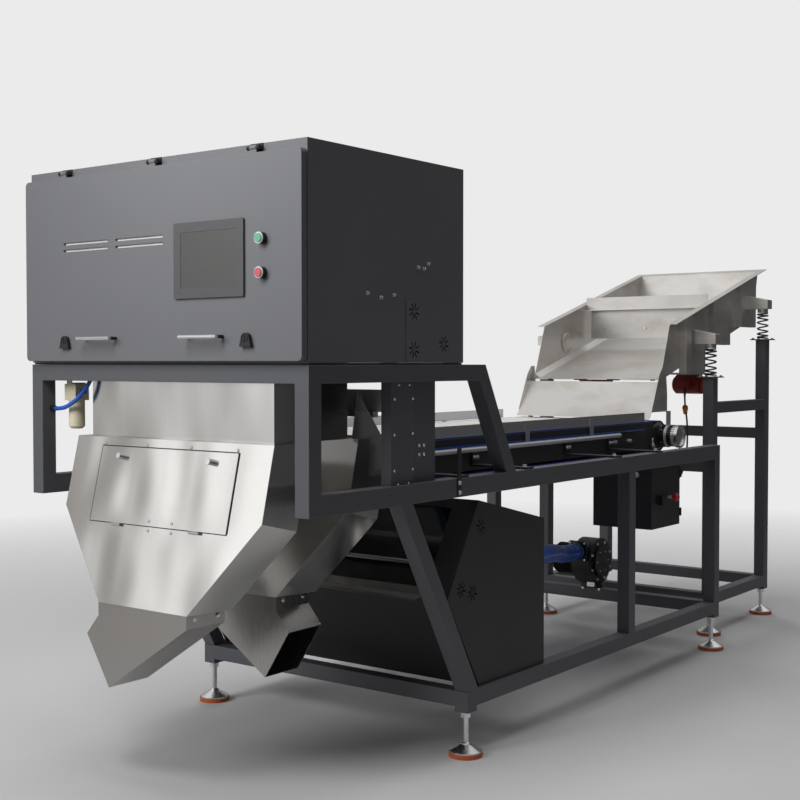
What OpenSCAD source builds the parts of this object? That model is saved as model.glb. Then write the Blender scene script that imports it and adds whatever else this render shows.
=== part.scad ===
// Belt-type optical colour sorter: optical cabinet on a welded tube frame, belt conveyor,
// vibratory feeder on a stand of its own, and a two-way stainless discharge hopper.
// Machine axes: X across from the centreline, Y back from the front of the frame, Z up from the floor.

/* [Main frame] */
// Overall width over the side frames
machine_w = 1400; // [1300:10:1600]
// Length of the main frame from the front legs to the rear uprights
frame_l = 3230; // [3225:5:3400]
// Side of the square frame tube
tube = 60; // [50:1:66]
// Wall of the frame tube
tube_wall = 3; // [2:0.5:5]
// Height of the underside of the long side beams
deck_z = 992; // [985:1:1000]
// Depth of the long side beams
deck_h = 70; // [60:1:74]
// Height of the underside of the beams under the cabinet
head_z = 1423; // [1415:1:1450]
// Height of the underside of the base beams
base_z = 190; // [180:1:200]
// Front of the sloping leg where it leaves the long beam
leg_top_y = 487; // [460:1:520]
// Front of the sloping leg where it stands on the base
leg_foot_y = 905; // [900:1:930]
// Front of the rear strut at the top of the cabinet beam
strut_top_y = 951; // [940:1:980]
// Front of the rear strut where it stands on the long beam
strut_foot_y = 1171; // [1150:1:1200]
// Front of the middle upright
mid_post_y = 2215; // [2000:5:2400]
// Root gap left for the weld where two tubes butt
weld_gap = 0.2; // [0.1:0.05:0.3]

/* [Levelling feet] */
// Diameter of the foot pads
pad_d = 130; // [100:1:150]
// Thickness of the rubber under each pad
pad_rubber = 16; // [10:1:24]
// Diameter of the foot screws
foot_rod_d = 22; // [16:1:30]
// How far the foot plates stand below the base beams
foot_drop = 20; // [10:1:40]

/* [Cabinet] */
// Width of the cabinet body
cab_w = 1392; // [1380:2:1396]
// Depth of the cabinet body
cab_d = 873; // [860:1:940]
// Height of the cabinet body
cab_h = 713; // [700:1:760]
// Gap under the cabinet, filled by its mounting pads
cab_pad = 7; // [4:1:12]
// Sheet of the cabinet
cab_sheet = 3; // [2:0.5:4]
// Thickness of the folded door
door_t = 25; // [22:1:32]
// Sheet of the door
door_sheet = 2; // [1.5:0.5:3]
// Corner radius of the door
door_r = 18; // [10:1:30]
// Distance of the outer hinges from the middle one
hinge_pitch = 480; // [400:5:560]
// Distance of the door latches from the middle
latch_x = 460; // [420:5:540]
// Height of the door latches above the bottom of the cabinet
latch_up = 80; // [76:1:90]
// Middle of each handle from the middle of the door
handle_x = 266; // [220:1:300]
// Length of each handle
handle_l = 178; // [120:1:200]
// Diameter of the handle bar
handle_d = 14; // [10:1:18]
// Width of the screen housing
screen_w = 328; // [300:1:340]
// Height of the screen housing
screen_h = 256; // [230:1:270]
// Middle of the screen from the middle of the door
screen_x = 285; // [260:1:300]
// Diameter of the push-button collars
button_d = 38; // [30:1:44]
// Diameter of the ring of each cooling grille
grille_d = 70; // [60:1:74]

/* [Discharge] */
// Width of each hopper
hopper_w = 998; // [960:2:1020]
// Width of each spout collar
collar_w = 450; // [400:2:500]
// Depth of each hopper from front to back
hopper_d = 181; // [150:1:220]
// Drop from the underside of the cabinet beams to the top of the hoppers
hopper_drop = 206; // [190:1:220]
// Height of the bend where the hopper sides turn in
hopper_kink_z = 960; // [930:1:1000]
// Height of the joint between hopper and spout
collar_z = 637; // [600:1:660]
// Front of the hopper at its top
hopper_top_y = 57; // [30:1:80]
// How far the hopper leans forward over its height
hopper_lean = 140; // [100:1:160]
// Distance from the front hopper to the rear one
hopper_pitch = 441; // [410:1:450]
// Sheet of the hoppers and spouts
steel_t = 3; // [2:0.5:4]
// Height of the straight collar on each spout
collar_h = 47; // [30:1:60]
// How far each spout mouth reaches past its collar
mouth_out = 63; // [40:1:90]
// Width of the access door in the front hopper
access_w = 692; // [600:2:720]
// Height of the access door along the plate
access_h = 276; // [240:1:290]

/* [Conveyor] */
// Distance between the two faces of the conveyor side plates
conv_w = 846; // [820:2:860]
// Thickness of the conveyor side plates
conv_plate = 6; // [4:1:8]
// Diameter of the rollers
roller_d = 148; // [140:1:152]
// Thickness of the belt
belt_t = 6; // [4:0.5:8]
// Width of the belt
belt_w = 826; // [780:2:828]
// Height of the roller axles
axle_z = 1106; // [1100:1:1112]
// Axle of the front roller
head_y = 800; // [790:1:830]
// Axle of the rear roller
tail_y = 3113; // [3060:1:3120]
// Diameter of the roller shafts
shaft_d = 40; // [30:1:44]
// Diameter of the pulley and the disc on the rear shaft
pulley_d = 118; // [100:1:124]
// Height of the guards beside the belt
guard_h = 46; // [36:1:60]

/* [Feeder] */
// Slope of the trough
feed_slope = 16; // [14:0.5:17]
// Front edge of the trough floor
feed_y = 3173; // [3165:1:3180]
// Height of the front edge of the trough floor
feed_z = 1398; // [1390:1:1410]
// Length of the trough floor measured level
feed_l = 1267; // [1250:1:1290]
// Inside width of the trough
feed_w = 770; // [740:2:776]
// Depth of the trough at its front
feed_depth = 265; // [240:1:280]
// Width of the rim round the trough
feed_rim = 41; // [30:1:46]
// Distance of the stand posts from the centreline
post_x = 514; // [500:1:530]
// Middle of the front stand posts
post_front_y = 3531; // [3525:1:3540]
// Distance between front and rear stand posts
post_pitch = 746; // [720:1:760]
// Height of the front spring plates
spring_z = 1413; // [1405:1:1425]
// Free height between spring plate and ear
spring_gap = 177; // [165:1:190]
// Outside diameter of the springs
spring_d = 68; // [60:1:76]
// Wire of the springs
spring_wire = 9; // [6:0.5:11]
// Turns of each spring
spring_turns = 6; // [5:1:7]

/* [Boxes] */
// Width of the lower optics cabinet
low_w = 1360; // [1320:2:1380]
// Side of the electrical box
box_w = 315; // [290:1:330]
// Height of the electrical box
box_h = 303; // [280:1:305]
// Distance from the front of the electrical box to the rear end of the frame
box_inset = 668; // [630:2:800]
// Diameter of the blower scroll
blower_d = 250; // [200:2:270]
// Diameter of the blower hose
hose_d = 90; // [70:1:100]

/* [Hidden] */
$fn = 48;

// Clearances
fit = 0.05;
seat = 0.3;

// Finishes
coat = [0.22, 0.23, 0.26];
stainless = [0.78, 0.77, 0.75];
zinc = [0.82, 0.83, 0.84];
black = [0.06, 0.06, 0.07];
blue = [0.10, 0.25, 0.72];

// Frame
half_w = machine_w / 2;
beam_in = half_w - tube;
deck_top = deck_z + deck_h;
head_top = head_z + tube;
base_top = base_z + tube;
rear_y = frame_l - tube;
foot_z = base_z - foot_drop;
leg_wide = tube / cos(atan((leg_foot_y - leg_top_y) / (deck_z - base_top)));
strut_wide = tube / cos(atan((strut_foot_y - strut_top_y) / (head_top - deck_top)));
head_cross_y = strut_top_y - tube - 12;
tie_z = deck_z - tube - 10;

// Cabinet and door
cab_z = head_top + cab_pad;
cab_top = cab_z + cab_h;
cab_x = cab_w / 2;
door_back = -3;
door_front = door_back - door_t;
door_w = cab_w - 2;
door_gap = 6;
door_z0 = cab_z + door_gap;
strip_h = 33;
door_z1 = cab_top - strip_h;
door_h = door_z1 - door_z0;
hinge_r = 8;
hinge_pin_r = 4;
hinge_y = door_front + door_t / 2 - 1;
hinge_z = cab_top - 15;
hinge_half = 27;
hinge_mid = 15;
sill_h = latch_up - 30;
latch_z = cab_z + latch_up;
latch_r = 11;
handle_z = latch_z + 7;
handle_out = 38;
screen_z = cab_z + 345;
screen_proud = 8;
button_x = 529;
button_zs = [cab_z + 402, cab_z + 291];
button_cap_r = button_d / 2 - 4.5;
collar_out = 22;
slot_l = 247;
slot_h = 8;
slot_zs = [cab_z + 436, cab_z + 411];
slot_xs = [-350, -63];
fans = [[565, 180], [565, 45], [749, 67]];
fan_t = 22;
fan_side = grille_d + 6;
fan_x = cab_x - cab_sheet - fan_t;
cover_y0 = 518;
cover_w = 94;
cover_h = 224;
rack_y = 330;
rack_d = 230;
rack_inset = 60;
rack_left = [370, 480];
rack_right = [350, 260];
scan_y0 = 650;
scan_y1 = 770;
scan_half = 430;
pane = 6;
pane_gap = 0.05;

// Discharge
hopper_z = head_z - hopper_drop;
lean = atan(hopper_lean / (hopper_z - collar_z));
hopper_bot_y = hopper_top_y - hopper_lean;
mid_half = hopper_w / 2;
collar_half = collar_w / 2;
kink_s = (hopper_kink_z - collar_z) / cos(lean);
top_s = (hopper_z - collar_z) / cos(lean);
duct_half = mid_half - 36;
duct_y0 = hopper_top_y + 38;
duct_y1 = hopper_top_y + hopper_pitch - 18;
duct_sheet = 2;
access_s0 = kink_s - 46;
access_gap = 20;
access_hinge_s = access_s0 - 6;
access_hinge_y = -6;
access_hinge_x = 200;
knob_x = 229;
knob_s = access_s0 + access_h - 36;
knob_pin_r = 4;
spout_fall = 73;
spout_tip = [-collar_half + 54, collar_z - 300];
spout_lip = [-collar_half - mouth_out, collar_z - collar_h - spout_fall];
floor_end = [collar_half, collar_z - collar_h + 1];
column_y0 = 455;
column_y1 = 588;
column_y2 = 733;
column_x0 = beam_in - 4;
column_out = 44;
ejector_y = 620;
ejector_z = hopper_z + 93;
ejector_deep = 76;
ejector_h = 80;
nozzle_y = 14;
nozzle_deep = 30;
nozzle_h = 21;

// Lower cabinet: side outline from the front bend round to the base
low_x = low_w / 2;
low_sheet = 3;
low_bend = [796, 613];
low_peak = [1003, 966];
low_rear_y = 1490;
low_outline = [low_bend, [1010, base_top], [low_rear_y, base_top], [low_rear_y, 851], low_peak];
low_tilt = atan((low_peak[0] - low_bend[0]) / (low_peak[1] - low_bend[1]));
low_face = norm(low_peak - low_bend);
camera_x = 240;
low_camera_z = base_top + 120;
low_aim = 122;
window_half = low_x - 110;
window_s0 = 40;
window_s1 = low_face - 40;
hose_in = [494, 650];
hose_collar = 12;
low_vents = [[1019, 863], [885, 639], [962, 617]];

// Conveyor
conv_x = conv_w / 2;
roller_r = roller_d / 2;
belt_top = axle_z + roller_r + belt_t;
plate_top = axle_z + 44;
plate_bot = axle_z - 62;
plate_y0 = head_y - 44;
plate_y1 = tail_y + 112;
shaft_r = shaft_d / 2;
bearing_r = 50;
bearing_t = 32;
guard_y0 = head_y + 60;
guard_y1 = tail_y - 202;
guard_t = 3;
guard_x = conv_x + 2;
strip_t = 10;
strip_z = plate_top - 30;
strip_deep = 22;
strip_y1 = tail_y - 474;
bracket_w = 50;
bracket_t = 8;
bracket_ys = [head_y + 64, strut_foot_y + 160, mid_post_y - 115, strip_y1 - 122];
strap_y = head_y + 28;

// Feeder: the trough's own side outline, front lip first
feed_rise = tan(feed_slope);
feed_half = feed_w / 2;
feed_t = 3;
feed_lip = [feed_y, feed_z];
feed_rear = [feed_y + feed_l, feed_z + feed_l * feed_rise];
feed_front_top = [feed_y + 113, feed_z + 113 * feed_rise + feed_depth];
feed_rear_top = [feed_rear[0] + 70, feed_front_top[1] + (feed_rear[0] + 70 - feed_front_top[0]) * feed_rise];
post_half = tube / 2;
post_ys = [post_front_y, post_front_y + post_pitch];
spring_zs = [spring_z, spring_z + round(post_pitch * feed_rise)];
cap_h = 22;
cap_r = 30;
plate_t = 6;
plate_side = 110;
ear_out = post_x + 42;
ear_wide = 64;
stand_base_z = base_z - 20;
stand_rail_z = 1213;
stand_tie_z = 1042;
gate_y = feed_y + 608;
gate_bar_z = feed_z + 402;
gate_gap = 60;
gate_over = 62;
drive_y = feed_y + 340;
drive_l = 300;
drive_t = 8;
skirt_z = feed_z + 32;
motor_y = feed_y + 557;
motor_r = 52;
motor_x0 = 225;
motor_l = 150;
motor_z = skirt_z - motor_r - 14;
cable_r = 5;

// Electrical box, blower, filter
box_y = frame_l - box_inset;
box_x1 = beam_in;
box_x0 = box_x1 - box_w;
box_z1 = deck_z - 4;
box_z0 = box_z1 - box_h;
box_sheet = 2;
box_door_t = 20;
box_hinge = [box_x1 + 1, box_y + box_w + 5];
gland_xs = [box_x0 + 110, box_x0 + 145];
gland_z = box_z0 + 115;
gland_l = 16;
switch_y = box_y + 72;
switch_z = box_z0 + 138;
stop_y = box_y + 185;
stop_z = box_z0 + 145;
blower_r = blower_d / 2;
blower_y = rear_y + tube / 2;
blower_z = base_top + 24 + blower_r;
blower_x0 = -85;
blower_t = 110;
filter_x = -558;
filter_y = 96;
blower_port_z = blower_r - hose_d / 2 - 12;
blower_mid_x = blower_x0 + blower_t / 2;

// Routes of the hoses and cables, from the piece that feeds them
blower_route = [
    [blower_mid_x, blower_y - blower_r - 40 - seat, blower_z + blower_port_z],
    [blower_mid_x, blower_y - blower_r - 90, blower_z + blower_port_z],
    [blower_mid_x, blower_y - blower_r - 140, blower_z + blower_port_z], [-12, 2820, 479], [80, 2600, 520],
    [257, 2200, 575], [430, 1800, 630], [hose_in[0], low_rear_y + 130, hose_in[1]],
    [hose_in[0], low_rear_y + 70, hose_in[1]], [hose_in[0], low_rear_y + hose_collar + seat, hose_in[1]]
];
air_z = head_z - 107;
air_y = filter_y - 52;
air_end = [-440, filter_y - 18, cab_z - seat];
air_route = [
    [-beam_in + seat, air_y, air_z], [-beam_in + 20, air_y, air_z], [-beam_in + 40, air_y, air_z],
    [-558, air_y + 1, air_z + 7], [-508, air_y + 8, air_z + 34], [-467, air_y + 21, air_z + 78],
    [-446, air_y + 32, air_z + 118], [air_end[0], air_end[1], air_end[2] - 40],
    [air_end[0], air_end[1], air_end[2] - 20], air_end
];
cable_start = [motor_x0 + 80, motor_y - motor_r - 18, motor_z - 12];
cable_down = [0, 0, -26];
gland_end = box_y + box_w + gland_l + seat;
cable_routes = [
    [cable_start, cable_start + cable_down, cable_start + 2 * cable_down, [318, 3640, 1235], [345, 3606, 1150],
     [372, 3545, 1010], [410, 3400, 890], [452, 3180, 838], [gland_xs[1], 3074, gland_z + 6],
     [gland_xs[1], gland_end + 94, gland_z], [gland_xs[1], gland_end + 47, gland_z],
     [gland_xs[1], gland_end, gland_z]],
    [[-cable_start[0], cable_start[1], cable_start[2]],
     [-cable_start[0], cable_start[1], cable_start[2]] + cable_down,
     [-cable_start[0], cable_start[1], cable_start[2]] + 2 * cable_down,
     [-290, 3650, 1262], [-250, 3628, 1224], [-170, 3606, 1196], [-50, 3594, 1176], [70, 3590, 1164],
     [190, 3588, 1146], [276, 3580, 1104], [322, 3556, 1036], [346, 3496, 952], [376, 3380, 880],
     [416, 3180, 832], [gland_xs[0], 3074, gland_z + 4],
     [gland_xs[0], gland_end + 94, gland_z], [gland_xs[0], gland_end + 47, gland_z],
     [gland_xs[0], gland_end, gland_z]]
];

// Half of the machine's length in front of and behind the origin
mid_y = (hopper_bot_y + feed_rear_top[0] + feed_rim) / 2;

// Shared shapes

// Moves machine axes to the origin under the middle of the machine
module placed() {
    translate([0, -mid_y, 0]) children();
}

module both_sides() {
    children();
    mirror([1, 0, 0]) children();
}

// Side outline in (Y, Z) drawn out across the machine from x0 to x1
module side_prism(x0, x1, outline) {
    translate([x0, 0, 0]) rotate([90, 0, 90]) linear_extrude(x1 - x0) polygon(outline);
}

// Front outline in (X, Z) drawn out from y0 back to y1
module front_prism(y0, y1) {
    translate([0, y1, 0]) rotate([90, 0, 0]) linear_extrude(y1 - y0) children();
}

module rod_x(x0, x1, r) {
    translate([x0, 0, 0]) rotate([0, 90, 0]) cylinder(h = x1 - x0, r = r);
}

module rod_y(y0, y1, r) {
    translate([0, y1, 0]) rotate([90, 0, 0]) cylinder(h = y1 - y0, r = r);
}

module span(from, to) {
    translate(from) cube(to - from);
}

module rounded(w, h, r) {
    square([w - 2 * r, h], center = true);
    square([w, h - 2 * r], center = true);
    for (x = [-1, 1], z = [-1, 1]) translate([x * (w / 2 - r), z * (h / 2 - r)]) circle(r);
}

// Square tubes with open ends, each short of its neighbours by the weld gap
module tube_z(x, y, z0, z1, floor_t = -1) {
    translate([x, y, z0 + weld_gap]) difference() {
        cube([tube, tube, z1 - z0 - 2 * weld_gap]);
        translate([tube_wall, tube_wall, floor_t])
            cube([tube - 2 * tube_wall, tube - 2 * tube_wall, z1 - z0 + 2]);
    }
}

module tube_y(x, y0, y1, z, deep = tube) {
    translate([x, y0 + weld_gap, z]) difference() {
        cube([tube, y1 - y0 - 2 * weld_gap, deep]);
        translate([tube_wall, -1, tube_wall])
            cube([tube - 2 * tube_wall, y1 - y0 + 2, deep - 2 * tube_wall]);
    }
}

module tube_x(x0, x1, y, z) {
    translate([x0 + weld_gap, y, z]) difference() {
        cube([x1 - x0 - 2 * weld_gap, tube, tube]);
        translate([-1, tube_wall, tube_wall])
            cube([x1 - x0 + 2, tube - 2 * tube_wall, tube - 2 * tube_wall]);
    }
}

// Sloping tube between two level cuts, given the front of its foot and of its top
module tube_slant(foot_y, top_y, z0, z1, wide) {
    rise = z1 - z0;
    wall = tube_wall * wide / tube;
    za = z0 + weld_gap;
    zb = z1 - weld_gap;
    function at(z) = foot_y + (top_y - foot_y) * (z - z0) / rise;
    difference() {
        side_prism(beam_in, half_w, [[at(za), za], [at(za) + wide, za], [at(zb) + wide, zb], [at(zb), zb]]);
        side_prism(beam_in + tube_wall, half_w - tube_wall, [
            [at(za - 1) + wall, za - 1], [at(za - 1) + wide - wall, za - 1],
            [at(zb + 1) + wide - wall, zb + 1], [at(zb + 1) + wall, zb + 1]
        ]);
    }
}

// Pinwheel of slots, along Z, for a cooling grille
module swirl(depth) {
    blades = 8;
    for (i = [0 : blades - 1])
        rotate([0, 0, i * 360 / blades])
            translate([grille_d * 0.13, 0, -depth / 2])
                rotate([0, 0, 32])
                    cube([grille_d * 0.33, grille_d * 0.085, depth]);
}

// Swirl cut through a wall that faces +X
module side_swirl(x, y, z) {
    translate([x, y, z]) rotate([0, 90, 0]) swirl(12);
}

// Tilted frame of a hopper: local Z runs up the leaning front plate, local Y goes in from its face
module on_hopper(shift = 0) {
    translate([0, hopper_bot_y + shift, collar_z]) rotate([-lean, 0, 0]) children();
}

// Frame and stand

module side_frame() {
    cut = (strut_foot_y - strut_top_y) / (head_top - deck_top);
    mitre = strut_top_y + cut * tube - weld_gap;
    tube_z(beam_in, 0, deck_z, head_top, tube_wall);
    difference() {
        side_prism(beam_in, half_w, [
            [tube + weld_gap, head_z], [mitre, head_z], [mitre - cut * tube, head_top], [tube + weld_gap, head_top]
        ]);
        translate([beam_in + tube_wall, 0, head_z + tube_wall])
            cube([tube - 2 * tube_wall, frame_l, tube - 2 * tube_wall]);
    }
    tube_slant(strut_foot_y, strut_top_y, deck_top, head_top, strut_wide);
    tube_y(beam_in, tube, frame_l, deck_z, deck_h);
    tube_slant(leg_foot_y, leg_top_y, base_top, deck_z, leg_wide);
    tube_z(beam_in, leg_foot_y - 3, foot_z, base_top, tube_wall);
    tube_y(beam_in, leg_foot_y - 3 + tube, rear_y, base_z);
    tube_z(beam_in, mid_post_y, base_top, deck_z);
    tube_z(beam_in, rear_y, foot_z, deck_z, tube_wall);
}

module main_frame() {
    color(coat) {
        both_sides() side_frame();
        tube_x(-beam_in, beam_in, 0, head_z);
        tube_x(-beam_in, beam_in, head_cross_y, head_z);
        tube_x(-beam_in, beam_in, leg_foot_y - 3, base_z);
        tube_x(-beam_in, beam_in, rear_y, base_z);
        tube_x(-beam_in, beam_in, rear_y, tie_z);
    }
}

module feeder_stand() {
    inner = post_x - post_half;
    post_tops = [for (z = spring_zs) z - plate_t];
    color(coat) {
        both_sides() {
            for (i = [0, 1]) {
                tube_z(inner, post_ys[i] - post_half, stand_base_z - foot_drop, post_tops[i], tube_wall);
                translate([post_x - plate_side / 2, post_ys[i] - plate_side / 2, post_tops[i]])
                    cube([plate_side, plate_side, plate_t]);
            }
            for (z = [stand_base_z, stand_rail_z])
                tube_y(inner, post_ys[0] + post_half, post_ys[1] - post_half, z);
        }
        for (z = [stand_base_z, stand_tie_z]) tube_x(-inner, inner, post_ys[1] - post_half, z);
        tube_x(-inner, inner, post_ys[0] - post_half, stand_base_z);
    }
}

// Levelling feet: each stands under a post, given by its place and the height of the post's end plate
foot_places = [
    for (x = [-1, 1]) each [
        [x * (half_w - tube / 2), leg_foot_y - 3 + tube / 2, foot_z],
        [x * (half_w - tube / 2), rear_y + tube / 2, foot_z],
        [x * post_x, post_ys[0], stand_base_z - foot_drop],
        [x * post_x, post_ys[1], stand_base_z - foot_drop]
    ]
];

module foot(top) {
    rod = foot_rod_d / 2;
    rim = pad_d / 2 - 4;
    cone_z = pad_rubber + 34;
    nut_h = 22;
    rotate_extrude() polygon([
        [0, pad_rubber], [rim, pad_rubber], [rim, pad_rubber + 6], [rod + 8, cone_z - 4], [rod + 6, cone_z],
        [rod, cone_z + 4], [rod, top], [0, top]
    ]);
    translate([0, 0, top - nut_h - fit]) difference() {
        cylinder(h = nut_h, r = rod * 1.9, $fn = 6);
        translate([0, 0, -1]) cylinder(h = nut_h + 2, r = rod + fit);
    }
}

module levelling_feet() {
    color(zinc) for (p = foot_places) translate([p[0], p[1], 0]) foot(p[2]);
}

module foot_pads() {
    color([0.80, 0.30, 0.16])
        for (p = foot_places) translate([p[0], p[1], 0]) cylinder(h = pad_rubber, d = pad_d);
}

// Cabinet

module cabinet_shell() {
    open_x = cab_x - 25;
    fan_hole = grille_d - 2;
    color(coat) difference() {
        union() {
            span([-cab_x, 0, cab_z], [cab_x, cab_d, cab_top]);
            both_sides() for (y = [30, cab_d / 2, cab_d - 60])
                span([beam_in + 8, y, head_top], [half_w - 12, y + 44, cab_z + 1]);
        }
        span([-cab_x + cab_sheet, cab_sheet, cab_z + cab_sheet],
             [cab_x - cab_sheet, cab_d - cab_sheet, cab_top - cab_sheet]);
        span([-open_x, -1, cab_z + sill_h], [open_x, cab_sheet + 1, cab_top - strip_h - 2]);
        span([-scan_half, scan_y0, cab_z - 1], [scan_half, scan_y1, cab_z + cab_sheet + 1]);
        span([cab_x - cab_sheet - 1, cover_y0 + (cover_w - fan_hole) / 2, cab_z + 10],
             [cab_x + 1, cover_y0 + (cover_w + fan_hole) / 2, cab_z + cover_h - 8]);
        side_swirl(cab_x, fans[2][0], cab_z + fans[2][1]);
    }
}

module side_cover_plate() {
    color(coat) difference() {
        span([cab_x, cover_y0, cab_z + 2], [cab_x + 2, cover_y0 + cover_w, cab_z + cover_h]);
        for (i = [0, 1]) side_swirl(cab_x, fans[i][0], cab_z + fans[i][1]);
    }
}

module fan_frames() {
    hub = 3;
    color(black) for (f = fans) translate([fan_x, f[0], cab_z + f[1]]) {
        difference() {
            translate([0, -fan_side / 2, -fan_side / 2]) cube([fan_t, fan_side, fan_side]);
            translate([-1, 0, 0]) rod_x(0, fan_t + 2, grille_d / 2);
        }
        for (a = [45, 135]) rotate([a, 0, 0]) translate([0, -grille_d / 2 - 1, -3]) cube([3, grille_d + 2, 6]);
        rod_x(1, fan_t - 3, hub);
    }
}

module fan_rotor(f) {
    hub = 13;
    blades = 7;
    reach = grille_d / 2 - 1.5;
    color(black) translate([fan_x + 3.5, f[0], cab_z + f[1]]) difference() {
        union() {
            rod_x(0, 14, hub);
            for (i = [0 : blades - 1])
                rotate([i * 360 / blades, 0, 0]) translate([7, 0, hub - 1])
                    rotate([0, 0, 38]) translate([-8, -0.8, 0]) cube([16, 1.6, reach - hub]);
            }
        translate([-1, 0, 0]) rod_x(0, 16, 3 + fit);
    }
}

module fan_rotor_1() { fan_rotor(fans[0]); }
module fan_rotor_2() { fan_rotor(fans[1]); }
module fan_rotor_3() { fan_rotor(fans[2]); }

module hinge_leaves() {
    color(black) for (x = [-hinge_pitch, 0, hinge_pitch]) translate([x, 0, 0]) {
        span([-hinge_half, -4, cab_top - strip_h + 6], [hinge_half, 0, cab_top]);
        for (s = [-1, 1]) {
            translate([s * (hinge_half + hinge_mid) / 2, hinge_y, hinge_z])
                rod_x(-(hinge_half - hinge_mid) / 2, (hinge_half - hinge_mid) / 2, hinge_r);
            translate([s * (hinge_half + hinge_mid) / 2 - (hinge_half - hinge_mid) / 2, hinge_y, hinge_z - 4])
                cube([hinge_half - hinge_mid, -hinge_y - 1, 8]);
        }
        translate([0, hinge_y, hinge_z]) rod_x(-hinge_half, hinge_half, hinge_pin_r);
    }
}

module cabinet_door() {
    mid_z = (door_z0 + door_z1) / 2;
    color(coat) difference() {
        union() {
            difference() {
                front_prism(door_front, door_back) translate([0, mid_z]) rounded(door_w, door_h, door_r);
                front_prism(door_front + door_sheet, door_back + 1) translate([0, mid_z])
                    rounded(door_w - 2 * door_sheet, door_h - 2 * door_sheet, door_r - door_sheet);
            }
            for (x = [-hinge_pitch, 0, hinge_pitch]) translate([x, 0, 0]) {
                translate([0, hinge_y, hinge_z]) rod_x(-hinge_mid + 0.5, hinge_mid - 0.5, hinge_r);
                span([-hinge_mid + 0.5, hinge_y - 4, door_z1 - 1], [hinge_mid - 0.5, hinge_y + 4, hinge_z]);
            }
        }
        for (x = [-hinge_pitch, 0, hinge_pitch])
            translate([x, hinge_y, hinge_z]) rod_x(-hinge_mid - 1, hinge_mid + 1, hinge_pin_r + fit);
        translate([screen_x, 0, screen_z])
            span([-screen_w / 2 + 12, door_front - 1, -screen_h / 2 + 12],
                 [screen_w / 2 - 12, door_front + door_sheet + 1, screen_h / 2 - 12]);
        for (x = slot_xs, z = slot_zs) front_prism(door_front - 1, door_front + door_sheet + 1)
            translate([x, z]) rounded(slot_l, slot_h, slot_h / 2 - 0.1);
        for (x = [-latch_x, latch_x])
            translate([x, 0, latch_z]) rod_y(door_front - 1, door_front + door_sheet + 1, latch_r + fit);
    }
}

module door_handles() {
    r = handle_d / 2;
    color(zinc) for (s = [-1, 1]) translate([s * handle_x, door_front - handle_out, handle_z]) {
        rod_x(-handle_l / 2, handle_l / 2, r);
        for (x = [-1, 1]) translate([x * (handle_l / 2 - r - 2), 0, 0]) rod_y(0, handle_out, r - 1);
    }
}

// Bell-shaped grip: round over the key, spread to a flat foot for the fingers
module latch_grip() {
    circle(latch_r + 7);
    polygon([[-latch_r - 6, 4], [-25, -22], [-25, -28], [25, -28], [25, -22], [latch_r + 6, 4]]);
}

// Key latch: round core through the door, grip outside, cam behind the sill when turned down
module door_latch(s) {
    cam_y = cab_sheet + 6;
    cam_l = latch_up - sill_h + 8;
    color(black) translate([s * latch_x, 0, latch_z]) {
        rod_y(door_front - 12, cam_y + 4, latch_r);
        difference() {
            front_prism(door_front - 14, door_front - seat) latch_grip();
            difference() {
                rod_y(door_front - 15, door_front - 12, latch_r + 3);
                rod_y(door_front - 15, door_front - 11, latch_r);
            }
            span([-2, door_front - 15, -8], [2, door_front - 8, 8]);
        }
        translate([s > 0 ? -cam_l : 0, cam_y, -9]) cube([cam_l, 4, 18]);
    }
}

module door_latch_left() { door_latch(-1); }
module door_latch_right() { door_latch(1); }

module touch_screen() {
    margin = 33;
    color(black) translate([screen_x, 0, screen_z]) difference() {
        union() {
            front_prism(door_front - screen_proud, door_front) rounded(screen_w, screen_h, 6);
            span([-screen_w / 2 + 13, door_front - 1, -screen_h / 2 + 13],
                 [screen_w / 2 - 13, door_back - 2, screen_h / 2 - 13]);
        }
        span([-screen_w / 2 + margin, door_front - screen_proud - 1, -screen_h / 2 + margin],
             [screen_w / 2 - margin, door_front - screen_proud + 1, screen_h / 2 - margin]);
    }
}

module button_collars() {
    color([0.7, 0.7, 0.7]) for (z = button_zs) translate([button_x, 0, z]) difference() {
        rod_y(door_front - collar_out, door_front, button_d / 2);
        rod_y(door_front - collar_out - 1, door_front - 2, button_cap_r + fit);
    }
}

module push_button(z, tint) {
    color(tint) translate([button_x, 0, z]) rod_y(door_front - collar_out - 4, door_front - 8, button_cap_r);
}

module start_button() { push_button(button_zs[0], [0.10, 0.45, 0.30]); }
module stop_button() { push_button(button_zs[1], [0.75, 0.20, 0.16]); }

// Inside the cabinets: line cameras over the belt end and below it, lamps beside them, control rack

module camera(len) {
    translate([-60, -60, 0]) cube([120, 120, len]);
    translate([0, 0, -50]) cylinder(h = 51, r = 34);
    translate([0, 0, -58]) difference() {
        cylinder(h = 9, r = 38);
        translate([0, 0, -1]) cylinder(h = 6, r = 30);
    }
}

module optics_units() {
    rail_z = cab_top - cab_sheet - 60;
    scan_y = (scan_y0 + scan_y1) / 2;
    color([0.30, 0.31, 0.33]) {
        for (x = [-camera_x, camera_x]) translate([x, scan_y, rail_z - 240]) camera(241);
        span([-cab_x + cab_sheet, scan_y - 30, rail_z], [cab_x - cab_sheet, scan_y + 30, rail_z + 40]);
        for (x = [-camera_x, camera_x]) translate([x, low_rear_y - 150, low_camera_z]) rotate([-low_aim, 0, 0]) camera(120);
        span([-low_x + low_sheet, low_rear_y - 150, base_top + low_sheet],
             [low_x - low_sheet, low_rear_y - 110, low_camera_z + 30]);
        // Lamp bars on both sides of the scan line
        for (y = [scan_y0 - 66, scan_y1 + 8])
            span([-scan_half, y, cab_z + cab_sheet], [scan_half, y + 56, cab_z + cab_sheet + 70]);
    }
}

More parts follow.
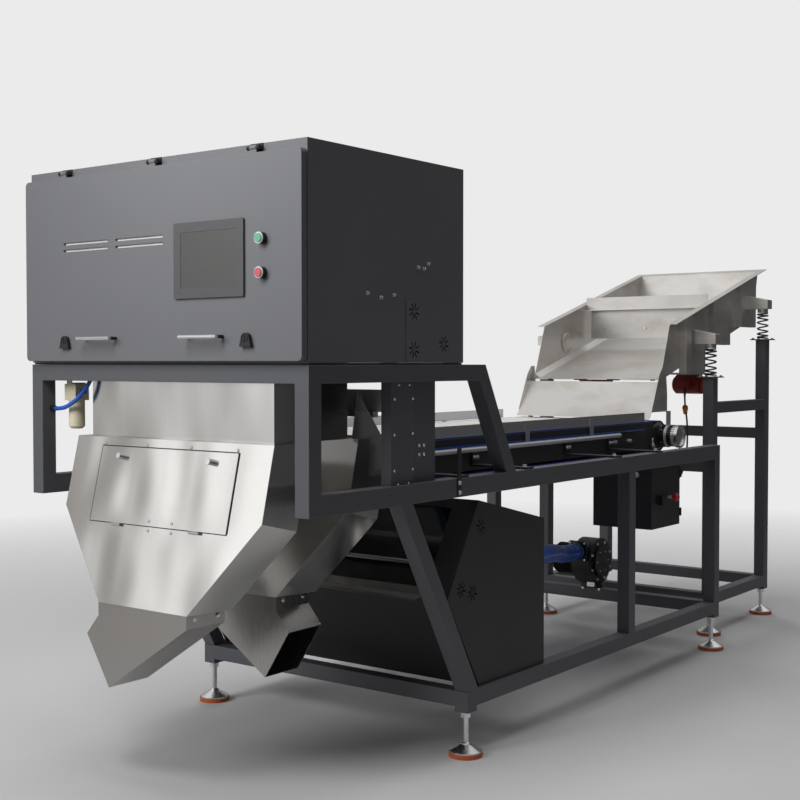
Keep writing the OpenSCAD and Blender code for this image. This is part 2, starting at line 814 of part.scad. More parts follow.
// Open-fronted rack with its drawers of electronics
module rack(w, h) {
    t = 3;
    pitch = 110;
    difference() {
        cube([w, rack_d, h]);
        translate([t, -1, t]) cube([w - 2 * t, rack_d - t + 1, h - 2 * t]);
    }
    for (z = [40 : pitch : h - 90]) {
        translate([t - 1, 20, z]) cube([w - 2 * t + 2, rack_d - 21, t]);
        translate([t + 12, 22, z]) cube([w - 2 * t - 24, 3, 70]);
    }
}

module control_rack() {
    rack_z = cab_z + cab_sheet;
    color([0.62, 0.64, 0.66]) {
        translate([-cab_x + rack_inset, rack_y, rack_z]) rack(rack_left[0], rack_left[1]);
        translate([cab_x - 2 * rack_inset - rack_right[0], rack_y, rack_z]) rack(rack_right[0], rack_right[1]);
    }
}

module inspection_windows() {
    color([0.5, 0.6, 0.65, 0.4]) {
        span([-scan_half - 7, scan_y0 - 7, cab_z + cab_sheet], [scan_half + 7, scan_y1 + 7, cab_z + cab_sheet + pane]);
        translate([0, low_bend[0], low_bend[1]]) rotate([-low_tilt, 0, 0])
            span([-window_half - 12, low_sheet + pane_gap, window_s0 - 12],
                 [window_half + 12, low_sheet + pane_gap + pane, window_s1 + 12]);
    }
}

// Discharge

module discharge_duct() {
    color(stainless) difference() {
        span([-duct_half, duct_y0, hopper_z], [duct_half, duct_y1, cab_z]);
        span([-duct_half + duct_sheet, duct_y0 + duct_sheet, hopper_z - 1],
             [duct_half - duct_sheet, duct_y1 + 1, cab_z - duct_sheet]);
    }
}

function hopper_outline(t, over) =
    let (shift = t * 0.36, b = collar_half - t, m = mid_half - t)
    [[-b, -over], [b, -over], [b, shift], [m, kink_s + shift], [m, top_s + over], [-m, top_s + over],
     [-m, kink_s + shift], [-b, shift]];

// Leaning sheet hopper with a ledge round its top
module hopper(shift) {
    deep = hopper_d * cos(lean);
    difference() {
        intersection() {
            on_hopper(shift) front_prism(0, deep) polygon(hopper_outline(0, 90));
            span([-mid_half - 1, hopper_bot_y - 200 + shift, collar_z], [mid_half + 1, hopper_pitch * 3, hopper_z]);
        }
        on_hopper(shift) front_prism(steel_t, deep - steel_t) polygon(hopper_outline(steel_t, 120));
    }
    translate([0, shift, 0]) difference() {
        span([-mid_half + 1, hopper_top_y + 0.5, hopper_z - steel_t], [mid_half - 1, hopper_top_y + hopper_d - 1, hopper_z]);
        span([-duct_half + 8, duct_y0 + 8, hopper_z - 2 * steel_t], [duct_half - 8, hopper_top_y + hopper_d - 16, hopper_z + 1]);
    }
}

module front_hopper() {
    pin_l = 25;
    color(stainless) {
        difference() {
            hopper(0);
            on_hopper() span([-access_w / 2 + access_gap, -1, access_s0 + access_gap],
                             [access_w / 2 - access_gap, steel_t + 1, access_s0 + access_h - access_gap]);
        }
        on_hopper() for (x = [-access_hinge_x, access_hinge_x]) translate([x, access_hinge_y, access_hinge_s]) {
            for (s = [-1, 1]) {
                translate([s * (pin_l - 5), 0, 0]) rod_x(-5, 5, 5.5);
                translate([s * (pin_l - 5) - 5, 0, -3]) cube([10, -access_hinge_y + 1, 6]);
            }
            rod_x(-pin_l, pin_l, 3);
        }
    }
}

module rear_hopper() {
    color(stainless) hopper(hopper_pitch);
}

// Boot-shaped spout below a hopper: straight collar, sloping floor, mouth open to one side
module spout() {
    t = steel_t;
    lip_dir = (spout_lip - [-collar_half, collar_z - collar_h]) / norm(spout_lip - [-collar_half, collar_z - collar_h]);
    floor_dir = (floor_end - spout_tip) / norm(floor_end - spout_tip);
    roof_in = [-collar_half, collar_z - collar_h] + t * [-lip_dir[1], lip_dir[0]];
    floor_in = spout_tip + t * [-floor_dir[1], floor_dir[0]];
    difference() {
        front_prism(hopper_bot_y, hopper_bot_y + hopper_d) polygon([
            [-collar_half, collar_z], [-collar_half, collar_z - collar_h], spout_lip, spout_tip, floor_end,
            [collar_half, collar_z]
        ]);
        front_prism(hopper_bot_y + t, hopper_bot_y + hopper_d - t) polygon([
            [-collar_half + t, collar_z + 1], [-collar_half + t, roof_in[1] - t * 0.4], roof_in + lip_dir * 140,
            floor_in - floor_dir * 60, floor_in + floor_dir * (norm(floor_end - spout_tip) - t * 0.9),
            [collar_half - t, floor_end[1] + t * 0.9], [collar_half - t, collar_z + 1]
        ]);
    }
}

module front_spout() { color(stainless) spout(); }
module rear_spout() { color(stainless) translate([0, hopper_pitch, 0]) mirror([1, 0, 0]) spout(); }

module hopper_door() {
    half = access_w / 2;
    top = access_s0 + access_h;
    color(stainless) on_hopper() difference() {
        union() {
            span([-half, -steel_t - seat, access_s0], [half, -seat, top]);
            for (x = [-access_hinge_x, access_hinge_x]) translate([x, access_hinge_y, access_hinge_s]) {
                rod_x(-14.5, 14.5, 5.5);
                span([-14.5, -access_hinge_y - steel_t - seat, 0], [14.5, -access_hinge_y - seat, 8]);
                span([-14.5, -1, 0], [14.5, -access_hinge_y - seat, 4]);
            }
        }
        for (x = [-access_hinge_x, access_hinge_x])
            translate([x, access_hinge_y, access_hinge_s]) rod_x(-20, 20, 3 + fit);
        for (x = [-knob_x, knob_x]) translate([x, 0, knob_s]) rod_y(-steel_t - 2, 2, knob_pin_r + fit);
    }
}

// Quarter-turn knob on the access door, its tongue inside the hopper
module hopper_knob(s) {
    color(zinc) on_hopper() translate([s * knob_x, 0, knob_s]) {
        rod_y(-steel_t - 24, -steel_t - 2 * seat, 11);
        rod_y(-steel_t - 2, steel_t + 5, knob_pin_r);
        translate([s > 0 ? -40 : 0, steel_t + 2, -6]) cube([40, 3, 12]);
    }
}

module hopper_knob_left() { hopper_knob(-1); }
module hopper_knob_right() { hopper_knob(1); }

// Roof between the two hoppers and the cheeks that close the chamber's sides
module chamber_plates() {
    foot_a = hopper_top_y + hopper_d - 10;
    foot_b = hopper_top_y + hopper_pitch + 6;
    ridge = (foot_a + foot_b) / 2;
    ridge_z = hopper_z + 83;
    rear_top = hopper_top_y + hopper_pitch;
    cheek_x = duct_half + 1;
    color(stainless) {
        side_prism(-duct_half + duct_sheet + seat, duct_half - duct_sheet - seat, [
            [foot_a, hopper_z], [foot_a + 5, hopper_z], [ridge, ridge_z - 4], [foot_b - 5, hopper_z],
            [foot_b, hopper_z], [ridge, ridge_z]
        ]);
        both_sides() side_prism(cheek_x, cheek_x + steel_t, [
            [rear_top + 4, hopper_z], [rear_top + hopper_d - 2, hopper_z], [rear_top + 38, hopper_z + 168]
        ]);
    }
}

module sheet_column(y0, y1, out) {
    t = steel_t;
    difference() {
        span([column_x0, y0, deck_top], [column_x0 + out, y1, head_z]);
        span([column_x0 + t, y0 + t, deck_top - 1], [column_x0 + out - t, y1 - t, head_z + 1]);
    }
}

module side_columns() {
    color(coat) both_sides() {
        sheet_column(column_y0, column_y1, column_out);
        sheet_column(column_y1 + weld_gap, column_y2, column_out - 12);
    }
}

// Air manifold across the chamber with its row of nozzle blocks
module ejector_bar() {
    blocks = 12;
    step = 2 * duct_half / blocks;
    color([0.55, 0.56, 0.58]) {
        span([-column_x0, ejector_y, ejector_z], [column_x0, ejector_y + ejector_deep, ejector_z + ejector_h]);
        for (i = [0 : blocks - 1])
            span([-duct_half + (i + 0.06) * step, ejector_y + nozzle_y, ejector_z - nozzle_h],
                 [-duct_half + (i + 0.94) * step, ejector_y + nozzle_y + nozzle_deep, ejector_z + 1]);
    }
}

// Convex outline moved in by t; the points run anticlockwise seen from +X
function inset(p, t) = [
    for (i = [0 : len(p) - 1])
        let (
            a = p[(i + len(p) - 1) % len(p)], b = p[i], c = p[(i + 1) % len(p)],
            u = (b - a) / norm(b - a), v = (c - b) / norm(c - b),
            n = [-u[1], u[0]] + [-v[1], v[0]]
        )
        b + n * t / (1 + u * v)
];

module lower_cabinet() {
    color(coat) difference() {
        side_prism(-low_x, low_x, low_outline);
        side_prism(-low_x + low_sheet, low_x - low_sheet, inset(low_outline, low_sheet));
        translate([0, low_bend[0], low_bend[1]]) rotate([-low_tilt, 0, 0])
            span([-window_half, -2, window_s0], [window_half, low_sheet + 2, window_s1]);
        for (v = low_vents) side_swirl(low_x, v[0], v[1]);
    }
    color(coat) translate([hose_in[0], 0, hose_in[1]])
        rod_y(low_rear_y - 1, low_rear_y + hose_collar, hose_d / 2 + 8);
}

// Stainless drip fold under the lower window and the wiper rod along its foot
module window_trim() {
    up = [sin(low_tilt), cos(low_tilt)];
    root = low_bend + 4 * up;
    ledge = [-52, -8];
    rod_s = window_s0 + 84;
    post_off = window_half + 14;
    color(stainless) {
        side_prism(-window_half, window_half, [root, root + ledge, root + 4 * up + ledge, root + 4 * up]);
        translate([0, low_bend[0], low_bend[1]]) rotate([-low_tilt, 0, 0]) {
            span([-window_half, -steel_t, 4], [window_half, 0, window_s0 - 2]);
            for (x = [-post_off, post_off]) translate([x, 0, rod_s]) rod_y(-24, 0, 5);
            translate([0, -24, rod_s]) rod_x(-post_off - 8, post_off + 8, 9);
        }
    }
}

// Conveyor

module conveyor_side_plates() {
    color(coat) both_sides() difference() {
        span([conv_x - conv_plate, plate_y0, plate_bot], [conv_x, plate_y1, plate_top]);
        for (y = [head_y, tail_y]) translate([0, y, axle_z]) rod_x(conv_x - conv_plate - 1, conv_x + 1, shaft_r + 4);
    }
}

module conveyor_bed() {
    bed_in = roller_r + 12;
    bed_top = axle_z + roller_r - seat;
    color([0.45, 0.42, 0.40]) {
        difference() {
            span([-conv_x, head_y + bed_in, plate_top], [conv_x, tail_y - bed_in, bed_top]);
            span([-conv_x + conv_plate, 0, plate_top - 1], [conv_x - conv_plate, tail_y, bed_top - 3]);
        }
        for (y = [head_y + bed_in, (head_y + tail_y) / 2, tail_y - bed_in - 40])
            span([-conv_x + conv_plate, y, plate_top - 36], [conv_x - conv_plate, y + 40, bed_top - 2]);
    }
}

module loop_outline(r) {
    translate([head_y, axle_z]) circle(r);
    translate([tail_y, axle_z]) circle(r);
    translate([head_y, axle_z - r]) square([tail_y - head_y, 2 * r]);
}

module conveyor_belt() {
    color(blue) translate([-belt_w / 2, 0, 0]) rotate([90, 0, 90]) linear_extrude(belt_w) difference() {
        loop_outline(roller_r + belt_t);
        loop_outline(roller_r);
    }
}

// Guards beside the belt, strapped to the bright strips along the side plates
module belt_guards() {
    color(stainless) both_sides() {
        span([guard_x, guard_y0, belt_top + 2], [guard_x + guard_t, guard_y1, belt_top + 2 + guard_h]);
        for (y = [guard_y0 + 60, (guard_y0 + strip_y1) / 2, strip_y1 - 306])
            span([guard_x + guard_t - 0.5, y, strip_z + strip_deep], [guard_x + guard_t + 3, y + 34, belt_top + guard_h - 12]);
        span([conv_x, guard_y0, strip_z], [conv_x + strip_t, strip_y1, strip_z + strip_deep]);
    }
}

// Angle brackets from the long beams to the conveyor, and the flat straps that stiffen them at the front
module conveyor_brackets() {
    color(coat) both_sides() {
        for (y = bracket_ys) {
            span([conv_x, y, deck_top], [half_w - 6, y + bracket_w, deck_top + bracket_t]);
            span([conv_x, y, deck_top], [conv_x + bracket_t, y + bracket_w, strip_z - 1]);
        }
        span([half_w, strap_y, deck_z + 4], [half_w + 4, strap_y + 24, plate_top + 24]);
    }
}

module bearing(x0) {
    difference() {
        union() {
            rod_x(x0, x0 + 12, bearing_r);
            rod_x(x0 + 11, x0 + bearing_t, bearing_r - 14);
        }
        rod_x(x0 - 1, x0 + bearing_t + 1, shaft_r + fit);
    }
}

module roller_bearings() {
    color(black) both_sides() for (y = [head_y, tail_y]) translate([0, y, axle_z]) bearing(conv_x);
}

// Roller: tube on two pierced end discs, with its shaft out to x1
module roller(y, x1) {
    face = belt_w / 2 - 4;
    disc = 12;
    translate([0, y, axle_z]) {
        difference() {
            rod_x(-face, face, roller_r - seat);
            rod_x(-face + disc, face - disc, roller_r - 6);
            for (a = [0 : 60 : 300]) rotate([a, 0, 0]) translate([0, 0, roller_r * 0.6]) rod_x(-face - 1, face + 1, 11);
        }
        rod_x(-conv_x - bearing_t - 6, x1, shaft_r);
    }
}

module head_roller() { color(zinc) roller(head_y, conv_x + bearing_t + 6); }

// Rear roller with its bright end disc
module tail_roller() {
    disc_x = conv_x + 98;
    color(zinc) {
        roller(tail_y, disc_x + 1);
        translate([0, tail_y, axle_z]) difference() {
            rod_x(disc_x, disc_x + 15, pulley_d / 2);
            rod_x(disc_x + 6, disc_x + 16, pulley_d / 2 - 9);
        }
    }
}

// Toothed pulley beside the end disc
module drive_pulley() {
    teeth = 24;
    x0 = conv_x + bearing_t + 8;
    x1 = conv_x + 98 - seat;
    color(black) translate([0, tail_y, axle_z]) difference() {
        union() {
            rod_x(x0, x1, pulley_d / 2 - 5);
            rod_x(x0, x0 + 5, pulley_d / 2);
            rod_x(x1 - 5, x1, pulley_d / 2);
        }
        for (i = [0 : teeth - 1]) rotate([i * 360 / teeth, 0, 0])
            span([x0 + 5, -3, pulley_d / 2 - 9], [x1 - 5, 3, pulley_d / 2 + 1]);
        rod_x(x0 - 1, x1 + 1, shaft_r + fit);
    }
}

// Slide that takes the product from the trough's lip down on to the belt, between two cheeks
module feed_chute() {
    cheek = feed_half + 17;
    top_y = feed_y - 13;
    top_z = feed_z - 12;
    bot_y = top_y - 115;
    bot_z = belt_top + 48;
    toe_z = belt_top + 10;
    toe_y = bot_y - (bot_z - toe_z) * (top_y - bot_y) / (top_z - bot_z);
    leg_y0 = tail_y + 60;
    color(stainless) {
        side_prism(-cheek, cheek, [[toe_y, toe_z], [toe_y + 4, toe_z], [top_y + 4, top_z], [top_y, top_z]]);
        both_sides() {
            side_prism(cheek, cheek + steel_t, [
                [bot_y - 8, bot_z - 4], [leg_y0 + 50, bot_z - 4], [leg_y0 + 50, bot_z + 90], [top_y + 44, top_z + 84],
                [top_y + 8, top_z + 84], [top_y - 30, top_z + 40]
            ]);
            span([cheek, leg_y0, bot_z - 4], [conv_x + steel_t, leg_y0 + 50, bot_z - 4 + steel_t]);
            span([conv_x, leg_y0, plate_bot + 40], [conv_x + steel_t, leg_y0 + 50, bot_z - 2]);
        }
    }
}

// Feeder

function feed_floor(y) = feed_z + (y - feed_y) * feed_rise;
function feed_top(y) = feed_front_top[1] + (y - feed_front_top[0]) * feed_rise;

// Folded ear that carries the trough on a spring
module ear(y, z) {
    outline = [[feed_half + feed_t - 1, z], [ear_out, z], [ear_out, z + 52], [feed_half + feed_t - 1, z + 86]];
    front_prism(y - ear_wide / 2, y + ear_wide / 2) difference() {
        polygon(outline);
        polygon(inset(outline, 2 * feed_t));
    }
}

// One outside rib: a folded sheet box under the rim, open below, from y0 to y1, down to z
module rib(y0, y1, z, deep) {
    t = feed_t;
    difference() {
        side_prism(feed_half + t - 1, feed_half + t + deep, [
            [y0, z], [y1, z], [y1, feed_top(y1) - 2], [y0, feed_top(y0) - 2]
        ]);
        side_prism(feed_half + t - 0.5, feed_half + deep, [
            [y0 + t, z - 1], [y1 - t, z - 1], [y1 - t, feed_top(y1) - 2 - 2 * t], [y0 + t, feed_top(y0) - 2 - 2 * t]
        ]);
    }
}

module feeder_trough() {
    t = feed_t;
    corner = 26;
    bar_foot = gate_bar_z;
    color(stainless) {
        // Floor, rear wall and rear rim
        side_prism(-feed_half - 1, feed_half + 1, [
            feed_lip, feed_rear + (t + 1) * [1, feed_rise], feed_rear + (t + 1) * [1, feed_rise] + [0, -t],
            feed_lip + [0, -t]
        ]);
        side_prism(-feed_half - 1, feed_half + 1, [
            feed_rear + [0, -1], feed_rear + [t, -1], feed_rear_top + [t, -1], feed_rear_top + [0, -1]
        ]);
        side_prism(-feed_half - feed_rim - t, feed_half + feed_rim + t, [
            feed_rear_top + [-1, -feed_rise - t], feed_rear_top + [feed_rim, feed_rim * feed_rise - t],
            feed_rear_top + [feed_rim, feed_rim * feed_rise], feed_rear_top + [-1, -feed_rise]
        ]);
        both_sides() {
            side_prism(feed_half, feed_half + t, [
                feed_lip + [0, -2 * t], feed_rear + [t + 1, (t + 1) * feed_rise - 2 * t],
                feed_rear_top + [t, t * feed_rise - 1], feed_front_top + [0, -1]
            ]);
            // Bent corner between floor and side
            translate([0, feed_y, feed_z]) rotate([feed_slope, 0, 0]) rotate([-90, 0, 0]) mirror([0, 1, 0])
                translate([0, 0, 20]) linear_extrude(feed_l / cos(feed_slope) - 22)
                    polygon([[feed_half + 1, -1], [feed_half - corner, -1], [feed_half + 1, corner]]);
            side_prism(feed_half, feed_half + feed_rim + t, [
                feed_front_top + [0, -t], feed_rear_top + [0, -t], feed_rear_top, feed_front_top
            ]);
            for (i = [0, 1]) ear(post_ys[i], spring_zs[i] + spring_gap);
            rib(feed_y + 232, feed_y + 300, skirt_z, 42);
            rib(feed_y + 299, feed_y + 540, skirt_z + 2, 16);
            rib(feed_y + 600, feed_y + 830, feed_floor(feed_y + 600) + 20, 40);
            rib(feed_y + 1010, feed_y + 1230, feed_floor(feed_y + 1010) + 12, 34);
        }
        // Cross bar that the gate hangs from
        span([-feed_half - 1, gate_y - 4, bar_foot], [feed_half + 1, gate_y, bar_foot + 76]);
        span([-feed_half - 1, gate_y - 60, bar_foot - 3], [feed_half + 1, gate_y, bar_foot]);
        // Drive plate between the ribs
        span([-feed_half - 17, drive_y, skirt_z - drive_t], [feed_half + 17, drive_y + drive_l, skirt_z]);
        both_sides() span([feed_half + feed_t - 1, drive_y - 30, skirt_z - 1],
                          [feed_half + 18, drive_y + drive_l - 110, skirt_z + 10]);
    }
}

module feeder_gate() {
    half = feed_half - 30;
    color(stainless) span([-half, gate_y + seat, feed_floor(gate_y) + gate_gap],
                          [half, gate_y + seat + 4, gate_bar_z + gate_over]);
}

module spring_caps() {
    color(zinc) both_sides() for (i = [0, 1])
        translate([post_x, post_ys[i], spring_zs[i] + spring_gap - cap_h]) cylinder(h = cap_h, r = cap_r);
}

// Faces of a bent tube whose rings of points follow one another
function tube_faces(rings, sides) = concat(
    [
        for (i = [0 : rings - 1], k = [0 : sides - 1])
            let (a = i * sides, n = (k + 1) % sides)
            each [[a + k, a + n, a + sides + n], [a + k, a + sides + n, a + sides + k]]
    ],
    [[for (k = [sides - 1 : -1 : 0]) k], [for (k = [0 : sides - 1]) rings * sides + k]]
);

// Coil spring as one swept tube, standing on z = 0
module coil(h) {
    sides = 8;
    steps = 14;
    rings = spring_turns * steps;
    r = (spring_d - spring_wire) / 2;
    w = spring_wire / 2;
    rise = h - spring_wire;
    function centre(i) = let (a = i * 360 / steps) [r * cos(a), r * sin(a), w + rise * i / rings];
    pts = [
        for (i = [0 : rings]) let (a = i * 360 / steps, c = centre(i))
            for (k = [0 : sides - 1]) let (b = k * 360 / sides)
                c + w * [cos(b) * cos(a), cos(b) * sin(a), sin(b)]
    ];
    polyhedron(pts, tube_faces(rings, sides), convexity = 10);
}

module spring_pair(i) {
    color([0.16, 0.16, 0.17]) both_sides()
        translate([post_x, post_ys[i], spring_zs[i] + fit]) coil(spring_gap - cap_h - seat);
}

module front_springs() { spring_pair(0); }
module rear_springs() { spring_pair(1); }

module vibrator_motors() {
    color([0.45, 0.08, 0.08]) both_sides() translate([0, motor_y, motor_z]) difference() {
        union() {
            rod_x(motor_x0, motor_x0 + motor_l, motor_r);
            rod_x(motor_x0 - 12, motor_x0 + motor_l + 12, motor_r - 12);
            span([motor_x0 + 20, -motor_r, 0], [motor_x0 + motor_l - 20, motor_r, motor_r + 6]);
            span([motor_x0 + 50, -motor_r - 36, -20], [motor_x0 + 110, -motor_r + 12, 24]);
        }
        translate([motor_x0 + 80, -motor_r - 18, -21]) cylinder(h = 13, r = cable_r + 3);
    }
}

// Electrical box

module control_box() {
    t = box_sheet;
    z1 = box_z1;
    color(coat) {
        difference() {
            span([box_x0, box_y, box_z0], [box_x1 - box_door_t, box_y + box_w, z1]);
            span([box_x0 + t, box_y + t, box_z0 + t], [box_x1, box_y + box_w - t, z1 - t]);
        }
        for (y = [box_y + 40, box_y + box_w - 80]) {
            span([box_x0 + 120, y, z1 - 1], [beam_in, y + 40, z1 + 3]);
            span([beam_in - 4, y, z1], [beam_in, y + 40, deck_z + 44]);
        }
        for (x = gland_xs) translate([x, 0, gland_z]) rod_y(box_y + box_w - 1, box_y + box_w + gland_l, 11);
        for (z = [box_z0 + 40, z1 - 70]) {
            translate([box_hinge[0], box_hinge[1], z]) cylinder(h = 14, r = 6);
            translate([box_hinge[0], box_hinge[1], z]) cylinder(h = 40, r = 3);
            span([box_x1 - box_door_t - 4, box_y + box_w - 1, z], [box_hinge[0] - 3, box_hinge[1], z + 14]);
        }
    }
}

module control_box_door() {
    t = box_sheet;
    color(coat) difference() {
        union() {
            difference() {
                span([box_x1 - box_door_t + seat, box_y, box_z0], [box_x1, box_y + box_w - 2, box_z1 - 2]);
                span([box_x1 - box_door_t - 1, box_y + t, box_z0 + t], [box_x1 - t, box_y + box_w - 2 - t, box_z1 - 2 - t]);
            }
            for (z = [box_z0 + 40, box_z1 - 70]) {
                translate([box_hinge[0], box_hinge[1], z + 14.5]) cylinder(h = 25, r = 6);
                span([box_hinge[0] - 6, box_y + box_w - 3, z + 14.5], [box_hinge[0] - 1, box_hinge[1], z + 39.5]);
            }
        }
        for (z = [box_z0 + 40, box_z1 - 70])
            translate([box_hinge[0], box_hinge[1], z + 10]) cylinder(h = 34, r = 3 + fit);
        translate([0, switch_y, switch_z]) rod_x(box_x1 - t - 1, box_x1 + 1, 8 + fit);
        translate([0, stop_y, stop_z]) rod_x(box_x1 - t - 1, box_x1 + 1, 8 + fit);
    }
}

// Back plate with its row of contactors and terminals
module control_gear() {
    x = box_x0 + box_sheet;
    color([0.75, 0.75, 0.72]) {
        span([x, box_y + 20, box_z0 + 20], [x + 3, box_y + box_w - 20, box_z1 - 20]);
        for (i = [0 : 3]) span([x + 2, box_y + 40 + i * 60, box_z0 + 150], [x + 90, box_y + 85 + i * 60, box_z0 + 230]);
        span([x + 2, box_y + 40, box_z0 + 60], [x + 55, box_y + box_w - 50, box_z0 + 105]);
    }
}

module main_switch() {
    color(black) translate([0, switch_y, switch_z]) {
        rod_x(box_x1 - 14, box_x1 + 8, 8);
        rod_x(box_x1 + seat, box_x1 + 8, 24);
        span([box_x1 + 7, -6, -24], [box_x1 + 26, 6, 24]);
    }
}

module emergency_stop() {
    color([0.78, 0.10, 0.10]) translate([0, stop_y, stop_z]) {
        rod_x(box_x1 - 14, box_x1 + 34, 8);
        translate([box_x1 + 34, 0, 0]) rotate([0, 90, 0])
            rotate_extrude() polygon([[0, -2], [14, -2], [20, 3], [20, 13], [14, 20], [0, 22]]);
    }
}

// Side-channel blower standing on the rear base beam, its outlet towards the lower cabinet
module blower() {
    color(black) translate([0, blower_y, blower_z]) {
        rod_x(blower_x0, blower_x0 + blower_t, blower_r);
        rod_x(blower_x0 + blower_t - 1, blower_x0 + blower_t + 14, blower_r - 40);
        rod_x(blower_x0 - 150, blower_x0 + 1, 78);
        rod_x(blower_x0 - 176, blower_x0 - 149, 62);
        translate([blower_mid_x, 0, blower_port_z]) rod_y(-blower_r - 40, 0, hose_d / 2 - 4);
        span([blower_x0 + 5, -tube / 2 + 2, -blower_r - 24], [blower_x0 + blower_t - 5, tube / 2 - 2, -blower_r + 20]);
    }
}

// Air filter: head on a bracket under the front beam, bowl below
module air_filter() {
    bowl_r = 30;
    head = 64;
    color([0.86, 0.83, 0.72]) translate([filter_x, filter_y, head_z]) {
        span([-head / 2, -head / 2, -76], [head / 2, head / 2, -14]);
        translate([0, 0, -184]) rotate_extrude() polygon([
            [0, 0], [bowl_r - 9, 0], [bowl_r, 9], [bowl_r, 109], [0, 109]
        ]);
        span([-14, -filter_y + tube, -15], [14, head / 2, -9]);
        span([-14, -filter_y + tube, -15], [14, -filter_y + tube + 4, 30]);
    }
}

// Smooth flexible tube of radius r through the points of a route
module flex(route, r, steps) {
    sides = 10;
    last = len(route) - 1;
    lean_to = [1, -1, 1];
    function pick(i) = route[max(0, min(last, i))];
    function along(i, t) =
        let (a = pick(i - 1), b = pick(i), c = pick(i + 1), d = pick(i + 2))
        0.5 * (2 * b + (c - a) * t + (2 * a - 5 * b + 4 * c - d) * t * t + (3 * b - a - 3 * c + d) * t * t * t);
    path = [for (i = [0 : last - 1], k = [0 : steps - 1]) along(i, k / steps), route[last]];
    rings = len(path) - 1;
    pts = [
        for (i = [0 : rings])
            let (
                way = path[min(rings, i + 1)] - path[max(0, i - 1)],
                side = cross(way, lean_to) / norm(cross(way, lean_to)),
                up = cross(side, way) / norm(cross(side, way))
            )
            for (k = [0 : sides - 1]) path[i] + r * (cos(k * 360 / sides) * side + sin(k * 360 / sides) * up)
    ];
    polyhedron(pts, tube_faces(rings, sides), convexity = 10);
}

module hoses() {
    color(blue) {
        flex(blower_route, hose_d / 2, 6);
        flex(air_route, 8, 5);
    }
}

module vibrator_cables() {
    color([0.25, 0.26, 0.28]) for (route = cable_routes) flex(route, cable_r, 5);
}

placed() main_frame();
placed() feeder_stand();
placed() levelling_feet();
placed() foot_pads();
placed() cabinet_shell();
placed() side_cover_plate();
placed() fan_frames();
placed() fan_rotor_1();
placed() fan_rotor_2();
placed() fan_rotor_3();
placed() hinge_leaves();
placed() cabinet_door();
placed() door_handles();
placed() door_latch_left();
placed() door_latch_right();
placed() touch_screen();
placed() button_collars();
placed() start_button();
placed() stop_button();
placed() optics_units();
placed() control_rack();
placed() inspection_windows();
placed() discharge_duct();
placed() front_hopper();
placed() rear_hopper();
placed() front_spout();
placed() rear_spout();
placed() hopper_door();
placed() hopper_knob_left();
placed() hopper_knob_right();
placed() chamber_plates();
placed() side_columns();
placed() ejector_bar();
placed() lower_cabinet();
placed() window_trim();
placed() conveyor_side_plates();
placed() conveyor_bed();
placed() conveyor_belt();
placed() belt_guards();
placed() conveyor_brackets();
placed() roller_bearings();
placed() head_roller();
placed() tail_roller();
placed() drive_pulley();
placed() feed_chute();
placed() feeder_trough();
placed() feeder_gate();
placed() spring_caps();
placed() front_springs();
placed() rear_springs();
placed() vibrator_motors();
placed() control_box();
placed() control_box_door();
placed() control_gear();
placed() main_switch();
placed() emergency_stop();
placed() blower();
placed() air_filter();
placed() hoses();
placed() vibrator_cables();
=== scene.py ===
# %% [markdown]
# # A belt-type optical colour sorter
# The solids of the machine come in as a fixed frame, each named piece riding on its own body.
# This lesson dresses that frame: camera first, then hoses and cables, then finishes, then the
# small hardware that the solids leave out, and last the floor and the lamps.

# %% Load the frame
import math

import bmesh
import bpy
from mathutils import Matrix, Vector


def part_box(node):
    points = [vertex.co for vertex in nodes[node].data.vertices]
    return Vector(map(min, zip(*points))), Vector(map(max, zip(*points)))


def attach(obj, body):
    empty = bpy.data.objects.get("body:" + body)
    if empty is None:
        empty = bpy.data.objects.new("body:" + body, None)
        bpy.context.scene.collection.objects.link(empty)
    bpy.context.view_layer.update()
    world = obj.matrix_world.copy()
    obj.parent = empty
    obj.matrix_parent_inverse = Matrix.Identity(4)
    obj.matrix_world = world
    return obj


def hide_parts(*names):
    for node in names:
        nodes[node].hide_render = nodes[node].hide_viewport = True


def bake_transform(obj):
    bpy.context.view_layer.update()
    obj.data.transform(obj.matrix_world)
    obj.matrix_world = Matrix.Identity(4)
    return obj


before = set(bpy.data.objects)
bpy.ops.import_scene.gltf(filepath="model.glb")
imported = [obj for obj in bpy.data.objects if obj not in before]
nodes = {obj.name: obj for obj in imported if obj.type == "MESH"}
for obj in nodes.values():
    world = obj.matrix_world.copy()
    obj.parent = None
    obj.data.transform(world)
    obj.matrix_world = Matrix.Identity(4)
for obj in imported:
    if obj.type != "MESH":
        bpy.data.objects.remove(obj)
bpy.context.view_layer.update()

# %% [markdown]
# ## Machine axes
# The machine is drawn from the front of its frame, in millimetres, and the model's origin lies
# under the middle of its length. One helper turns a drawing point into a model point, so every
# number below can be read against the machine itself.

# %% Drawing point to model point
MM = 0.001
MID_Y = 2234
RIGHT, FRONT, UP = (1, 0, 0), (0, -1, 0), (0, 0, 1)


def at(x, y, z):
    return Vector((x, y - MID_Y, z)) * MM


print("front edge of the frame:", at(0, 0, 0), "axes:", RIGHT, FRONT, UP)

# %% [markdown]
# ## Camera
# The picture was taken from the front right at eye height. Level lines of the frame gave the yaw
# and the pitch, and the square tube gave the distance, so the camera is placed by its matrix and
# not by tracking a target.

# %% Camera at the photograph's place
YAW, PITCH = math.radians(37.078), math.radians(1.708)
FOCAL_PX, FRAME_PX, SENSOR = 1285.1, 800, 36.0
CAMERA_AT = (3386.2, -3075.7, 1493.8)

right = Vector((math.cos(YAW), math.sin(YAW), 0))
level = Vector((-math.sin(YAW), math.cos(YAW), 0))
ahead = level * math.cos(PITCH) - Vector(UP) * math.sin(PITCH)
above = right.cross(ahead)

